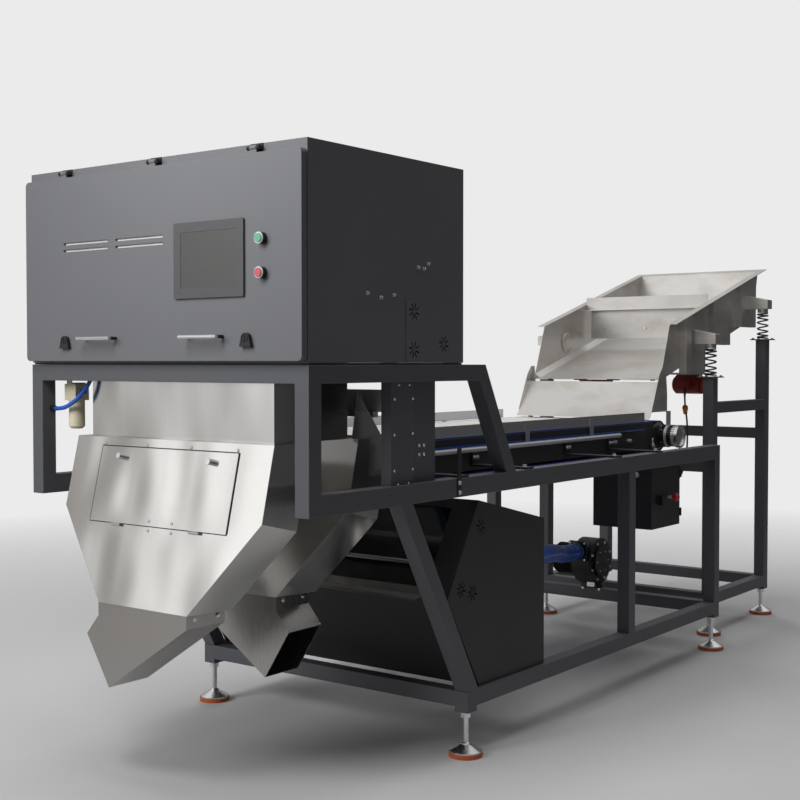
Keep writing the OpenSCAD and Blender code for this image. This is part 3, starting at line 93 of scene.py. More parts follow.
camera_data = bpy.data.cameras.new("camera")
camera_data.sensor_width = SENSOR
camera_data.lens = SENSOR * FOCAL_PX / FRAME_PX
camera_data.clip_end = 100
camera = bpy.data.objects.new("camera", camera_data)
bpy.context.scene.collection.objects.link(camera)
turn = Matrix((right, above, -ahead)).transposed().to_4x4()
camera.matrix_world = Matrix.Translation(at(*CAMERA_AT)) @ turn
bpy.context.scene.camera = camera
print("lens:", round(camera_data.lens, 2), "mm")

# %% [markdown]
# ## A small workshop for meshes
# Screws, rods and cut plates repeat all over the machine. One class collects such shapes in a
# single mesh, so that each group of like parts becomes one piece that rides on one body. A lathe
# makes everything round, a plate everything cut from sheet, and a sweep everything bent. A stack
# of array modifiers would also repeat a screw, but the screws here sit at measured places.

# %% Mesh workshop


def facing(axis):
    """Rotation that turns +Z to the given direction."""
    return Vector(axis).normalized().to_track_quat("Z", "Y").to_matrix()


class Workshop:
    def __init__(self):
        self.mesh = bmesh.new()

    def close(self, rings):
        """Skins neighbouring rings together and caps the first and the last."""
        for a, b in zip(rings, rings[1:]):
            n = len(a)
            for i in range(n):
                j = (i + 1) % n
                self.mesh.faces.new((a[i], a[j], b[j], b[i]))
        self.mesh.faces.new(list(reversed(rings[0])))
        self.mesh.faces.new(rings[-1])

    def ring(self, points):
        return [self.mesh.verts.new(p) for p in points]

    def lathe(self, place, axis, profile, sides=20):
        """Turns a profile of (radius, height), in millimetres, about an axis."""
        spin = facing(axis)
        rings = []
        for radius, height in profile:
            points = []
            for i in range(sides):
                a = 2 * math.pi * i / sides
                local = Vector((radius * math.cos(a), radius * math.sin(a), height))
                points.append(place + spin @ local * MM)
            rings.append(self.ring(points))
        self.close(rings)

    def plate(self, outline, thick, place, spin=None):
        """Outline in local X and Y, in millimetres, given a thickness along local Z."""
        spin = spin or Matrix.Identity(3)
        rings = []
        for z in (0, thick):
            rings.append(self.ring([place + spin @ Vector((x, y, z)) * MM for x, y in outline]))
        self.close(rings)

    def sweep(self, path, radii, sides=12):
        """Round tube along a path, with one radius, in metres, for each point."""
        side = None
        rings = []
        for i, p in enumerate(path):
            way = (path[min(i + 1, len(path) - 1)] - path[max(i - 1, 0)]).normalized()
            if side is None:
                side = way.orthogonal().normalized()
            side = (side - way * side.dot(way)).normalized()
            up = way.cross(side)
            points = []
            for k in range(sides):
                a = 2 * math.pi * k / sides
                points.append(p + (side * math.cos(a) + up * math.sin(a)) * radii[i])
            rings.append(self.ring(points))
        self.close(rings)

    def finish(self, name, body, finish, smooth=35):
        """Makes one piece of what was collected; without a body it is left unattached."""
        bmesh.ops.recalc_face_normals(self.mesh, faces=self.mesh.faces)
        limit = math.radians(smooth)
        for face in self.mesh.faces:
            face.smooth = True
        for edge in self.mesh.edges:
            edge.smooth = len(edge.link_faces) == 2 and edge.calc_face_angle(0) < limit
        data = bpy.data.meshes.new(name)
        self.mesh.to_mesh(data)
        self.mesh.free()
        piece = bpy.data.objects.new(name, data)
        bpy.context.scene.collection.objects.link(piece)
        data.materials.append(finish.material)
        if body:
            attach(piece, body)
        print(name, "on", body or "a blend", "faces", len(data.polygons))
        return piece


def rounded_bar(length, width, corner, steps=4):
    """Outline of a rectangle with rounded corners, about its middle."""
    outline = []
    for quarter, (sx, sy) in enumerate([(1, 1), (-1, 1), (-1, -1), (1, -1)]):
        for k in range(steps + 1):
            a = math.radians(90 * quarter + 90 * k / steps)
            x = sx * (length / 2 - corner) + corner * math.cos(a)
            y = sy * (width / 2 - corner) + corner * math.sin(a)
            outline.append((x, y))
    return outline


print("workshop ready, bar outline points:", len(rounded_bar(20, 8, 3)))

# %% [markdown]
# ## Shader sums in Python
# A finish is easier to read as arithmetic than as a web of nodes. The first class wraps one output
# of a node, so that `0.3 + 0.1 * grain` adds the Math nodes by itself. The second makes every other
# node through one method, and the third is a whole material built on it.

# %% Shader arithmetic


class Value:
    def __init__(self, tree, output):
        self.tree, self.output = tree, output

    def sum(self, operation, a, b):
        return self.tree.node("ShaderNodeMath", {"operation": operation}, {0: a, 1: b})

    def __add__(self, other):
        return self.sum("ADD", self, other)

    def __sub__(self, other):
        return self.sum("SUBTRACT", self, other)

    def __rsub__(self, other):
        return self.sum("SUBTRACT", other, self)

    def __mul__(self, other):
        return self.sum("MULTIPLY", self, other)

    def __gt__(self, other):
        return self.sum("GREATER_THAN", self, other)

    def __lt__(self, other):
        return self.sum("LESS_THAN", self, other)

    __radd__ = __add__
    __rmul__ = __mul__


class Tree:
    def __init__(self, tree):
        self.tree = tree

    def feed(self, socket, value):
        if isinstance(value, Value):
            self.tree.links.new(value.output, socket)
        else:
            socket.default_value = value

    def node(self, kind, settings=None, sockets=None, out=0):
        made = self.tree.nodes.new(kind)
        for key, value in (settings or {}).items():
            setattr(made, key, value)
        for key, value in (sockets or {}).items():
            self.feed(made.inputs[key], value)
        return Value(self, made.outputs[out])

    def step(self, value, low, high):
        """0 below low, 1 above high, straight between."""
        sockets = {"Value": value, "From Min": low, "From Max": high}
        return self.node("ShaderNodeMapRange", {"clamp": True}, sockets)

    def mix(self, share, a, b):
        return self.node("ShaderNodeMix", {"data_type": "RGBA"}, {0: share, 6: a, 7: b}, out=2)

    def vector(self, operation, *inputs, out=0):
        settings = {"operation": operation}
        return self.node("ShaderNodeVectorMath", settings, dict(enumerate(inputs)), out)

    def dot(self, a, b):
        return self.vector("DOT_PRODUCT", a, b, out="Value")

    def part(self, vector, axis):
        return self.node("ShaderNodeSeparateXYZ", None, {0: vector}, out=axis)

    def within(self, value, low, high):
        """1 between two limits, 0 outside them."""
        return (value > low) * (value < high)


class Finish(Tree):
    """One material: where it is, how its edges are rounded, and what it feeds to the shader."""

    def __init__(self, name, slot, edge=1.5, **constants):
        self.material = bpy.data.materials.new(name)
        self.material.use_nodes = True
        super().__init__(self.material.node_tree)
        self.slot = slot
        self.shader = self.tree.nodes["Principled BSDF"]
        self.place = self.node("ShaderNodeTexCoord", out="Object")
        self.rounded = self.node("ShaderNodeBevel", {"samples": 4}, {"Radius": edge * MM})
        for key, value in constants.items():
            self.wear(key.replace("_", " "), value)

    def noise(self, scale, stretch=(1, 1, 1), detail=3, rough=0.55):
        stretched = self.vector("MULTIPLY", self.place, stretch)
        sockets = {"Vector": stretched, "Scale": scale, "Detail": detail, "Roughness": rough}
        return self.node("ShaderNodeTexNoise", None, sockets)

    def along(self, axis):
        return self.part(self.place, axis)

    def edges(self):
        """1 on rounded edges, 0 on flat faces, broken up so that the rub looks uneven."""
        true = self.node("ShaderNodeNewGeometry", out="Normal")
        bent = self.step(1 - self.dot(self.rounded, true), 0.015, 0.12)
        return bent * self.step(self.noise(35, detail=4), 0.38, 0.62)

    def bumped(self, height, depth, strength=1.0):
        """The rounded normal with one more relief on it."""
        sockets = {"Height": height, "Distance": depth, "Strength": strength,
                   "Normal": self.rounded}
        return self.node("ShaderNodeBump", None, sockets)

    def bump(self, height, depth, strength):
        self.wear("Normal", self.bumped(height, depth, strength))

    def wear(self, socket, value):
        self.feed(self.shader.inputs[socket], value)


def tint(tone, factor=1.0, lift=0.0):
    return [min(1.0, c * factor + lift) for c in tone] + [1]


print("shader classes ready")

# %% [markdown]
# ## Paint
# Frame and cabinet wear a fine-textured powder coat: dark, slightly blue, with an orange-peel skin
# a millimetre or two across. A slower noise gives the faint cloudiness of a large sprayed sheet,
# dust lightens faces that look up, and a Bevel node finds the edges, which are rubbed a little
# paler. The same node rounds those edges for the light, so no solid needs a modifier.

# %% Powder coats


def powder_coat(name, slot, tone, rough, peel=420, edge=2.0):
    coat = Finish(name, slot, edge, Specular_IOR_Level=0.4)
    cloud = coat.noise(2.2, detail=4)
    speck = coat.noise(900, detail=2)
    normal = coat.node("ShaderNodeNewGeometry", out="Normal")
    upward = coat.part(normal, "Z")
    dust = coat.step(upward, 0.7, 1.0) * coat.step(cloud, 0.35, 0.75)
    body = coat.mix(0.6 * cloud + 0.4 * speck, tint(tone, 0.88), tint(tone, 1.12))
    dusty = coat.mix(0.3 * dust, body, tint(tone, 1.5, 0.02))
    rubbed = coat.edges()
    coat.wear("Base Color", coat.mix(0.5 * rubbed, dusty, tint(tone, 1.9, 0.02)))
    coat.wear("Roughness", rough - 0.08 + 0.16 * cloud + 0.1 * dust - 0.1 * rubbed)
    coat.bump(coat.noise(peel, detail=1, rough=0.4), 0.00035, 0.45)
    return coat


cabinet_coat = powder_coat("cabinet_coat", "cabinet_coat", (0.136, 0.138, 0.148), 0.46)
frame_coat = powder_coat("frame_coat", "coat", (0.090, 0.092, 0.102), 0.5, 380, edge=5)
# The darkest coat: on the control box and its door it stands for the shade under the conveyor, as
# painted shade. The lower cabinet and the conveyor's plates, bed and brackets wear it too.
dark_coat_and_painted_shade = powder_coat("dark_coat_and_painted_shade", "coat", (0.021, 0.021, 0.024), 0.5, 380)
light_coat = powder_coat("light_grey_coat", "electronics", (0.42, 0.43, 0.44), 0.45)
motor_enamel = powder_coat("motor_enamel", "motor_red", (0.30, 0.028, 0.022), 0.38, 160, edge=4)
black_enamel = powder_coat("black_enamel", "cast", (0.014, 0.014, 0.016), 0.42, 140, edge=4)
optics_enamel = powder_coat("optics_enamel", "optics", (0.030, 0.032, 0.036), 0.4)
print("powder coats made")

# %% [markdown]
# ## Bright metals
# The hoppers are brushed stainless sheet: the grain is a noise stretched along the brushing
# direction, used for roughness and for a very shallow bump. A second, slow bump gives the slight
# waviness of a large welded sheet, and soft smears show where hands have rubbed. The feeder is the
# same steel, older, duller and stained. Anisotropic shading would stretch the glints further, but
# the stretched bump does it in any renderer.

# %% Stainless, zinc and aluminium


def brushed(name, slot, tone, rough, grain, smear=0.06, wave=0.0, metal=1.0, stain=None):
    steel = Finish(name, slot, 1.0, Metallic=metal)
    lines = steel.noise(5, stretch=grain, detail=5, rough=0.7)
    smears = steel.noise(2.3, detail=4, rough=0.55)
    dull = steel.step(smears, 0.35, 0.8)
    rubbed = steel.edges()
    body = steel.mix(0.5 * lines + 0.3 * dull, tint(tone, 1.07), tint(tone, 0.84))
    if stain:
        soil = steel.noise(3.1, stretch=(1, 1, 2.5), detail=6, rough=0.62)
        body = steel.mix(0.65 * steel.step(soil, 0.46, 0.72), body, tint(stain))
    steel.wear("Base Color", steel.mix(0.6 * rubbed, body, tint(tone, 1.2)))
    steel.wear("Roughness", rough - 0.06 + 0.13 * lines + smear * dull)
    if wave:
        sheet = steel.noise(3.4, stretch=(1, 1, 0.4), detail=1)
        steel.rounded = steel.bumped(sheet, wave)
    steel.bump(lines, 0.00005, 0.5)
    return steel


UPRIGHT_GRAIN, LONG_GRAIN, FINE_GRAIN = (90, 90, 0.6), (90, 0.6, 90), (4, 4, 4)
hopper_steel = brushed("brushed_stainless", "stainless", (0.62, 0.61, 0.595), 0.15,
                       UPRIGHT_GRAIN, wave=0.012)
spout_steel = brushed("spout_stainless", "stainless", (0.39, 0.375, 0.362), 0.24,
                      UPRIGHT_GRAIN, wave=0.008)
trough_steel = brushed("worn_stainless", "stainless", (0.68, 0.665, 0.64), 0.35, LONG_GRAIN,
                       smear=0.14, wave=0.008, metal=0.8, stain=(0.44, 0.38, 0.32))
satin_aluminium = brushed("satin_aluminium", "aluminium", (0.72, 0.72, 0.735), 0.34, LONG_GRAIN,
                          metal=0.35)
strip_steel = brushed("strip_aluminium", "aluminium", (0.68, 0.685, 0.70), 0.34, LONG_GRAIN)
zinc = brushed("bright_zinc", "zinc", (0.70, 0.705, 0.71), 0.24, FINE_GRAIN)
spring_black = brushed("blackened_wire", "spring_steel", (0.10, 0.10, 0.105), 0.38, FINE_GRAIN)
print("metals made")

# %% [markdown]
# ## Plastics, rubber, glass
# Moulded pieces get a fine spark-eroded grain, rubber a coarser one. The belt is
# cream on its carrying face and blue at both edges, so its colour follows the distance from the
# centreline; two materials on one mesh would need the solid to be cut.

# %% Plastics and rubber


def moulded(name, slot, tone, rough, grain=700, coat=0.0):
    plastic = Finish(name, slot, 1.2, Coat_Weight=coat)
    cloud = plastic.noise(14, detail=3)
    body = plastic.mix(cloud, tint(tone, 0.88), tint(tone, 1.12))
    plastic.wear("Base Color", plastic.mix(0.4 * plastic.edges(), body, tint(tone, 1.5, 0.015)))
    plastic.wear("Roughness", rough - 0.06 + 0.12 * cloud)
    plastic.bump(plastic.noise(grain, detail=1), 0.0002, 0.35)
    return plastic


black_plastic = moulded("black_plastic", "black_plastic", (0.012, 0.012, 0.013), 0.38)
cream_plastic = moulded("cream_bowl", "filter_bowl", (0.66, 0.60, 0.44), 0.34, coat=0.3)
white_plastic = moulded("white_plastic", "filter_bowl", (0.58, 0.58, 0.57), 0.34)
lamp_diffuser = moulded("lamp_diffuser", "filter_bowl", (0.66, 0.65, 0.63), 0.4)
blue_plastic = moulded("blue_hose", "blue_hose", (0.008, 0.095, 0.50), 0.36, coat=0.25)
cable_rubber = moulded("cable_sheath", "cable", (0.035, 0.036, 0.04), 0.6, 500)
pad_rubber = moulded("orange_rubber", "pad_rubber", (0.50, 0.115, 0.035), 0.62, 300)
orange_plastic = moulded("orange_plastic", "cable", (0.70, 0.25, 0.02), 0.4)
green_cap = moulded("green_cap", "green", (0.075, 0.32, 0.20), 0.22, coat=0.6)
red_cap = moulded("red_cap", "red", (0.45, 0.060, 0.075), 0.24, coat=0.6)
print("plastics and rubber made")

# %% Belt and glass
BLUE_FROM = 0.398
belt_cover = Finish("belt_cover", "belt")
across = belt_cover.along("X")
blue_edge = 1 - belt_cover.within(across, -BLUE_FROM, BLUE_FROM)
scuff = belt_cover.noise(4, stretch=(6, 0.4, 1), detail=5)
cream = belt_cover.mix(scuff, tint((0.58, 0.57, 0.53)), tint((0.78, 0.77, 0.73)))
belt_cover.wear("Base Color", belt_cover.mix(blue_edge, cream, tint((0.012, 0.05, 0.36))))
belt_cover.wear("Roughness", 0.42 + 0.2 * scuff)
belt_cover.bump(belt_cover.noise(60, detail=4), 0.0002, 0.5)

plate_glass = Finish("plate_glass", "glass", Transmission_Weight=1.0, IOR=1.5)
film = plate_glass.noise(5, detail=4)
deep_glass, pale_glass = tint((0.62, 0.70, 0.70)), tint((0.74, 0.80, 0.79))
plate_glass.wear("Base Color", plate_glass.mix(film, deep_glass, pale_glass))
plate_glass.wear("Roughness", 0.03 + 0.06 * film)
print("belt is blue beyond", BLUE_FROM, "m from its centreline")

# %% [markdown]
# ## Pieces in two materials
# A handle is a chromed bar on black feet, a button collar has a pale ring on a black body, and the
# pulley carries a black belt between bright flanges. Each is one solid, so its finish changes where
# a coordinate passes a given value. The share of the second material drives colour, metal and gloss
# together.

# %% Two-tone finishes


def two_tone(name, slot, share_of, first, second):
    """Each of the two is a tone, a metal share and a roughness; share_of builds the mask."""
    both = Finish(name, slot, 1.2)
    share = share_of(both)
    grain = both.noise(60, detail=3)
    (tone_a, metal_a, rough_a), (tone_b, metal_b, rough_b) = first, second
    pale = both.mix(share, tint(tone_a, 1.1), tint(tone_b, 1.1))
    deep = both.mix(share, tint(tone_a, 0.88), tint(tone_b, 0.88))
    both.wear("Base Color", both.mix(grain, deep, pale))
    both.wear("Metallic", metal_a + (metal_b - metal_a) * share)
    both.wear("Roughness", rough_a - 0.05 + (rough_b - rough_a) * share + 0.1 * grain)
    both.bump(both.noise(700, detail=1), 0.0001, 0.3)
    return both


def model_y(y):
    return (y - MID_Y) * MM


BLACK, CHROME = ((0.012, 0.012, 0.013), 0.0, 0.38), ((0.80, 0.80, 0.81), 1.0, 0.16)
PALE_RING, RED_HEAD = ((0.62, 0.62, 0.62), 0.3, 0.35), ((0.56, 0.03, 0.03), 0.0, 0.26)
PALE_SHAFT, TURNED_DISC = ((0.55, 0.55, 0.53), 0.0, 0.4), ((0.70, 0.70, 0.71), 0.4, 0.3)
DISPLAY, BEZEL = ((0.060, 0.060, 0.059), 0.0, 0.16), ((0.072, 0.071, 0.076), 0.0, 0.42)
BAR_Y, COLLAR_Y = model_y(-58), model_y(-47.5)
PULLEY_LOW, PULLEY_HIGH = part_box("drive_pulley")
STOP_LOW, STOP_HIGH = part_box("emergency_stop")
SCREEN_X, SCREEN_Z, DISPLAY_W, DISPLAY_H = 0.285, 1.835, 0.262, 0.190
BELT_FROM, BELT_TO = 0.2, 0.62
HEAD_X = STOP_LOW[0] + 0.5 * (STOP_HIGH[0] - STOP_LOW[0])


def in_front_of(depth):
    """Mask of what stands nearer than a depth."""
    return lambda both: both.along("Y") < depth


def screen_share(both):
    """Display glass in the middle, grey bezel round it."""
    across = both.within(both.along("X"), SCREEN_X - DISPLAY_W / 2, SCREEN_X + DISPLAY_W / 2)
    upright = both.within(both.along("Z"), SCREEN_Z - DISPLAY_H / 2, SCREEN_Z + DISPLAY_H / 2)
    return 1 - across * upright


def band_share(both):
    """Black belt round the middle of the pulley, bright flanges beside it."""
    low, width = PULLEY_LOW[0], PULLEY_HIGH[0] - PULLEY_LOW[0]
    return 1 - both.within(both.along("X"), low + BELT_FROM * width, low + BELT_TO * width)


def head_share(both):
    """Red head beyond the pale shaft."""
    return both.along("X") > HEAD_X


handle_finish = two_tone("handle", "zinc", in_front_of(BAR_Y), BLACK, CHROME)
collar_finish = two_tone("button_collar", "zinc", in_front_of(COLLAR_Y), BLACK, PALE_RING)
screen_finish = two_tone("screen_front", "screen", screen_share, DISPLAY, BEZEL)
pulley_finish = two_tone("pulley", "black_plastic", band_share, BLACK, TURNED_DISC)
stop_finish = two_tone("mushroom_stop", "red", head_share, PALE_SHAFT, RED_HEAD)
print("pulley from", PULLEY_LOW[0], "to", PULLEY_HIGH[0], "stop button's head beyond", HEAD_X)

# %% [markdown]
# ## Finishes on the solids
# Most solids already have the right shape, so they keep it and only take a finish. A table from
# finish to names is easier to check than a call for each solid.

# %% Dress the solids
DRESS = {
    frame_coat: ["main_frame", "feeder_stand", "side_columns"],
    # Control box and its door: darkest coat as painted shade for the shade under the conveyor.
    dark_coat_and_painted_shade: ["lower_cabinet", "control_box", "control_box_door", "conveyor_side_plates",
                "conveyor_bed", "conveyor_brackets"],
    cabinet_coat: ["cabinet_shell", "side_cover_plate", "cabinet_door"],
    hopper_steel: ["discharge_duct", "front_hopper", "rear_hopper", "hopper_door",
                   "chamber_plates", "window_trim"],
    spout_steel: ["front_spout", "rear_spout"],
    trough_steel: ["feed_chute", "feeder_trough", "feeder_gate"],
    strip_steel: ["belt_guards", "ejector_bar"],
    zinc: ["levelling_feet", "hopper_knob_left", "hopper_knob_right", "head_roller",
           "tail_roller", "spring_caps"],
    black_plastic: ["fan_frames", "fan_rotor_1", "fan_rotor_2", "fan_rotor_3", "hinge_leaves",
                    "door_latch_left", "door_latch_right", "main_switch"],
    black_enamel: ["roller_bearings", "blower"],
    optics_enamel: ["optics_units"],
    light_coat: ["control_rack", "control_gear"],
    pad_rubber: ["foot_pads"],
    belt_cover: ["conveyor_belt"],
    motor_enamel: ["vibrator_motors"],
    cream_plastic: ["air_filter"],
    green_cap: ["start_button"],
    red_cap: ["stop_button"],
    plate_glass: ["inspection_windows"],
    handle_finish: ["door_handles"],
    collar_finish: ["button_collars"],
    screen_finish: ["touch_screen"],
    pulley_finish: ["drive_pulley"],
    stop_finish: ["emergency_stop"],
}

for finish, names in DRESS.items():
    for name in names:
        mesh = nodes[name].data
        mesh.materials.clear()
        mesh.materials.append(finish.material)
print("dressed:", sum(len(names) for names in DRESS.values()))

# %% [markdown]
# ## Hoses and cables
# The blower feeds clean air to the lower optics through a ribbed blue hose. A thin air hose runs
# from the bulkhead on the left leg up into the cabinet, and each vibrator motor has a cable to the
# electrical box. They follow the same points as the solids they stand for. A bevelled curve would
# be shorter to write, but a swept mesh can carry the ribs, and its points give the true length.

# %% Smooth lines through the route points


def smooth_line(points, steps):
    """Curve through all the points, the same one that the solids follow."""
    last = len(points) - 1

    def pick(i):
        return points[max(0, min(last, i))]

    line = []
    for i in range(last):
        a, b, c, d = pick(i - 1), pick(i), pick(i + 1), pick(i + 2)
        for k in range(steps):
            t = k / steps
            line.append(0.5 * (2 * b + (c - a) * t + (2 * a - 5 * b + 4 * c - d) * t * t
                               + (3 * b - a - 3 * c + d) * t * t * t))
    return line + [points[last]]


def length_of(line):
    return sum((b - a).length for a, b in zip(line, line[1:]))


def evenly(line, pitch):
    """The same line with points at one spacing, so that ribs come out regular."""
    count = max(2, round(length_of(line) / pitch))
    gap = length_of(line) / count
    spaced, walked = [line[0]], 0.0
    for a, b in zip(line, line[1:]):
        run = (b - a).length
        while len(spaced) < count and gap * len(spaced) <= walked + run:
            spaced.append(a.lerp(b, (gap * len(spaced) - walked) / run))
        walked += run
    return spaced + [line[-1]]


ROUTES = {
    "blower_hose": [
        (-30, 3034.7, 467), (-30, 2985, 467), (-30, 2935, 467), (-12, 2820, 479), (80, 2600, 520),
        (257, 2200, 575), (430, 1800, 630), (494, 1620, 650), (494, 1560, 650),
        (494, 1502.3, 650)],
    "air_hose": [
        (-639.7, 44, 1316), (-620, 44, 1316), (-600, 44, 1316), (-558, 45, 1323), (-508, 52, 1350),
        (-467, 65, 1394), (-446, 76, 1434), (-440, 78, 1449.7), (-440, 78, 1469.7),
        (-440, 78, 1489.7)],
    "vibrator_cable_right": [
        (305, 3660, 1352), (305, 3660, 1326), (305, 3660, 1300), (318, 3640, 1235),
        (345, 3606, 1150), (372, 3545, 1010), (410, 3400, 890), (452, 3180, 838),
        (470, 3074, 806), (470, 2987.3, 800), (470, 2940.3, 800), (470, 2893.3, 800)],
    "vibrator_cable_left": [
        (-305, 3660, 1352), (-305, 3660, 1326), (-305, 3660, 1300), (-290, 3650, 1262),
        (-250, 3628, 1224), (-170, 3606, 1196), (-50, 3594, 1176), (70, 3590, 1164),
        (190, 3588, 1146), (276, 3580, 1104), (322, 3556, 1036), (346, 3496, 952),
        (376, 3380, 880), (416, 3180, 832), (435, 3074, 804), (435, 2987.3, 800),
        (435, 2940.3, 800), (435, 2893.3, 800)],
}
HOSE_STEPS, CABLE_STEPS = 6, 5
LINES = {}
for name, route in ROUTES.items():
    steps = HOSE_STEPS if name == "blower_hose" else CABLE_STEPS
    LINES[name] = smooth_line([at(*p) for p in route], steps)
    print(name, "length", round(length_of(LINES[name]), 3), "m")

# %% [markdown]
# ## Clamps, glands and fittings
# A hose is held by a worm-drive clamp, a cable leaves its housing through a tapered, grooved boot,
# and a thin air tube pushes into a collar on a hexagon nut. All three are lathe work about the end
# of their line, so each takes its place and direction from that line.

# %% End fittings
HOSE_R, AIR_R, INLET_R, CABLE_R = 45, 8, 4, 5
CLAMP_SET, BOOT_SET, BOOT_L = 18, 13, 40


def leaving(line, end):
    """Point at an end of a line and the direction along which the line leaves it."""
    a, b = (line[0], line[1]) if end == 0 else (line[-1], line[-2])
    return a, (b - a).normalized()


def cable_boot(shop, place, way, radius):
    profile = [(radius + 5, 0), (radius + 5, 6)]
    for k in range(4):
        low, wide = 7 + 8 * k, radius + 3.4 - 0.75 * k
        profile += [(wide - 0.9, low), (wide, low + 1.5), (wide, low + 5.5), (wide - 0.9, low + 7)]
    shop.lathe(place, way, profile + [(radius + 0.4, BOOT_L)], 16)


def hose_clamp(shop, place, way, radius):
    band = [(radius, 0), (radius + 1.6, 0.6), (radius + 1.6, 12.4), (radius, 13)]
    screw = [(5, 0), (5, 5), (3.5, 6.5), (1.5, 6.5), (1.2, 4.5)]
    spin = facing(way)
    shop.lathe(place + way * CLAMP_SET * MM, way, band, 32)
    housing = place + way * (CLAMP_SET - 1) * MM + spin @ Vector((0, radius + 1, 0)) * MM
    shop.plate(rounded_bar(22, 9, 2), 15, housing, spin)
    shop.lathe(housing + spin @ Vector((11, 1, 7.5)) * MM, spin @ Vector(RIGHT), screw, 6)


def push_fitting(shop, place, way, radius):
    nut = [(radius + 4.4, 0), (radius + 5, 0.8), (radius + 5, 8), (radius + 3, 9)]
    collar = [(radius + 2.5, 0), (radius + 3, 2), (radius + 3, 9), (radius + 1, 12)]
    shop.lathe(place, way, nut, 6)
    shop.lathe(place + way * 9 * MM, way, collar, 20)


fittings = {name: [] for name in LINES}
for name in LINES:
    for end in (0, 1):
        shop = Workshop()
        place, way = leaving(LINES[name], end)
        if name == "blower_hose":
            hose_clamp(shop, place, way, HOSE_R)
            piece = shop.finish("hose_clamp_%d" % end, "machine", spring_black)
        elif name == "air_hose":
            push_fitting(shop, place, way, AIR_R if end == 0 else INLET_R)
            piece = shop.finish("air_fitting_%d" % end, "machine", black_plastic)
        else:
            cable_boot(shop, place + way * (BOOT_SET * MM if end == 0 else 0), way, CABLE_R)
            boot_name = name.replace("cable", "boot") + "_%d" % end
            piece = shop.finish(boot_name, "machine", black_plastic)
        fittings[name].append(piece)

# %% [markdown]
# ## Sweeping the lines
# The hose wall swells and narrows along its length: a cosine on the radius gives the rounded ribs
# of a moulded blower hose. The cables stay plain. An orange plug sits on the right cable just below
# its motor, where the picture shows it.

# %% Flexible lines
RIB_PITCH, RIB_DEPTH = 0.018, 0.003
PLUG_POINT, PLUG_WAY = 14, (0.16, -0.26, -0.95)
PLUG_BODY = [(6, 0), (13, 3), (15, 8), (15, 30), (12, 34), (12, 46), (8, 52), (6, 53)]
PLUG_COLLAR = [(15, 12), (16.5, 13), (16.5, 19), (15, 20)]


def flexible(name, radius, finish, node, pitch, ribbed=False):
    line = evenly(LINES[name], pitch)
    radii = []
    for i in range(len(line)):
        valley = 0.5 - 0.5 * math.cos(2 * math.pi * i * pitch / RIB_PITCH) if ribbed else 0.0
        radii.append(radius - RIB_DEPTH * valley)
    shop = Workshop()
    shop.sweep(line, radii, 20 if ribbed else 12)
    piece = shop.finish(name, "machine", finish, smooth=70)
    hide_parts(node)
    length_of(line)


plug, plug_at = Workshop(), LINES["vibrator_cable_right"][PLUG_POINT]
plug.lathe(plug_at, PLUG_WAY, PLUG_BODY, 20)
plug.lathe(plug_at, PLUG_WAY, PLUG_COLLAR, 12)
plug_piece = plug.finish("cable_plug", "machine", orange_plastic)
fittings["vibrator_cable_right"].append(plug_piece)

flexible("blower_hose", HOSE_R * MM, blue_plastic, "hoses", 0.003, ribbed=True)
flexible("air_hose", AIR_R * MM, blue_plastic, "hoses", 0.006)
flexible("vibrator_cable_right", CABLE_R * MM, cable_rubber, "vibrator_cables", 0.01)
flexible("vibrator_cable_left", CABLE_R * MM, cable_rubber, "vibrator_cables", 0.01)

# %% [markdown]
# ## Fasteners
# Three heads do for the whole machine: a hexagon head on its washer, a low domed screw with a
# driver recess, and a round rivet. Each is turned on the lathe with its own chamfer, because the
# chamfer's small highlight is what makes a bolt read as a bolt from a few metres away.

# %% Fastener heads
SUNK = -0.3


def hex_bolt(shop, place, axis, across=16, head=7):
    corner = across / 2 / math.cos(math.pi / 6)
    washer = [(1.12, SUNK), (1.16, 0.4), (1.16, 1.4), (1.08, 2)]
    cap = [(1, 1.8), (1, head), (0.84, head + 1.4), (0.3, head + 1.5)]
    shop.lathe(place, axis, [(corner * r, h) for r, h in washer], 24)
    shop.lathe(place, axis, [(corner * r, h) for r, h in cap], 6)


def pan_screw(shop, place, axis, radius=5.0):
    dome = [(1.0, SUNK / radius), (1.0, 0.22), (0.92, 0.42), (0.72, 0.58), (0.42, 0.66)]
    recess = [(0.34, 0.4), (0.1, 0.36)]
    shop.lathe(place, axis, [(radius * r, radius * h) for r, h in dome + recess], 20)


def rivet(shop, place, axis, radius=5.5):
    profile = [(1.0, SUNK / radius), (1.0, 0.12), (0.88, 0.34), (0.6, 0.52), (0.25, 0.6)]
    shop.lathe(place, axis, [(radius * r, radius * h) for r, h in profile], 16)


def both_sides(x):
    return [(side * x, (side, 0, 0)) for side in (1, -1)]


def round_the_axle(x, y, z, radius, count, first=0.0):
    """Evenly spaced places on a circle that faces sideways, the first at an angle in degrees."""
    places = []
    for k in range(count):
        a = math.radians(first + 360 / count * k)
        places.append(at(x, y + radius * math.cos(a), z + radius * math.sin(a)))
    return places


print("hexagon, pan and rivet heads ready")

# %% [markdown]
# ## Screws on the columns and the cabinet
# The covers between the two beams are held by ten small screws each, placed as in the picture. On
# the cabinet's right side six short studs hold the control rack, three low and three high.

# %% Column and cabinet screws
COLUMN_SCREWS = [(499, 1414), (560, 1413), (474, 1363), (581, 1362), (472, 1238), (580, 1239),
                 (472, 1113), (579, 1113), (494, 1063), (555, 1063)]
REAR_COLUMN_BOLTS = [(634, 1193), (663, 1193), (634, 1160), (663, 1160)]
CABINET_STUDS = [(303, 1724), (376, 1712), (449, 1723), (590, 1826), (626, 1823), (651, 1842)]
COLUMN_X, REAR_COLUMN_X, CABINET_X = 680, 668, 696
STUD = [(7, SUNK), (7, 1), (5, 1.6), (5, 8), (4, 9.5), (1.5, 10)]

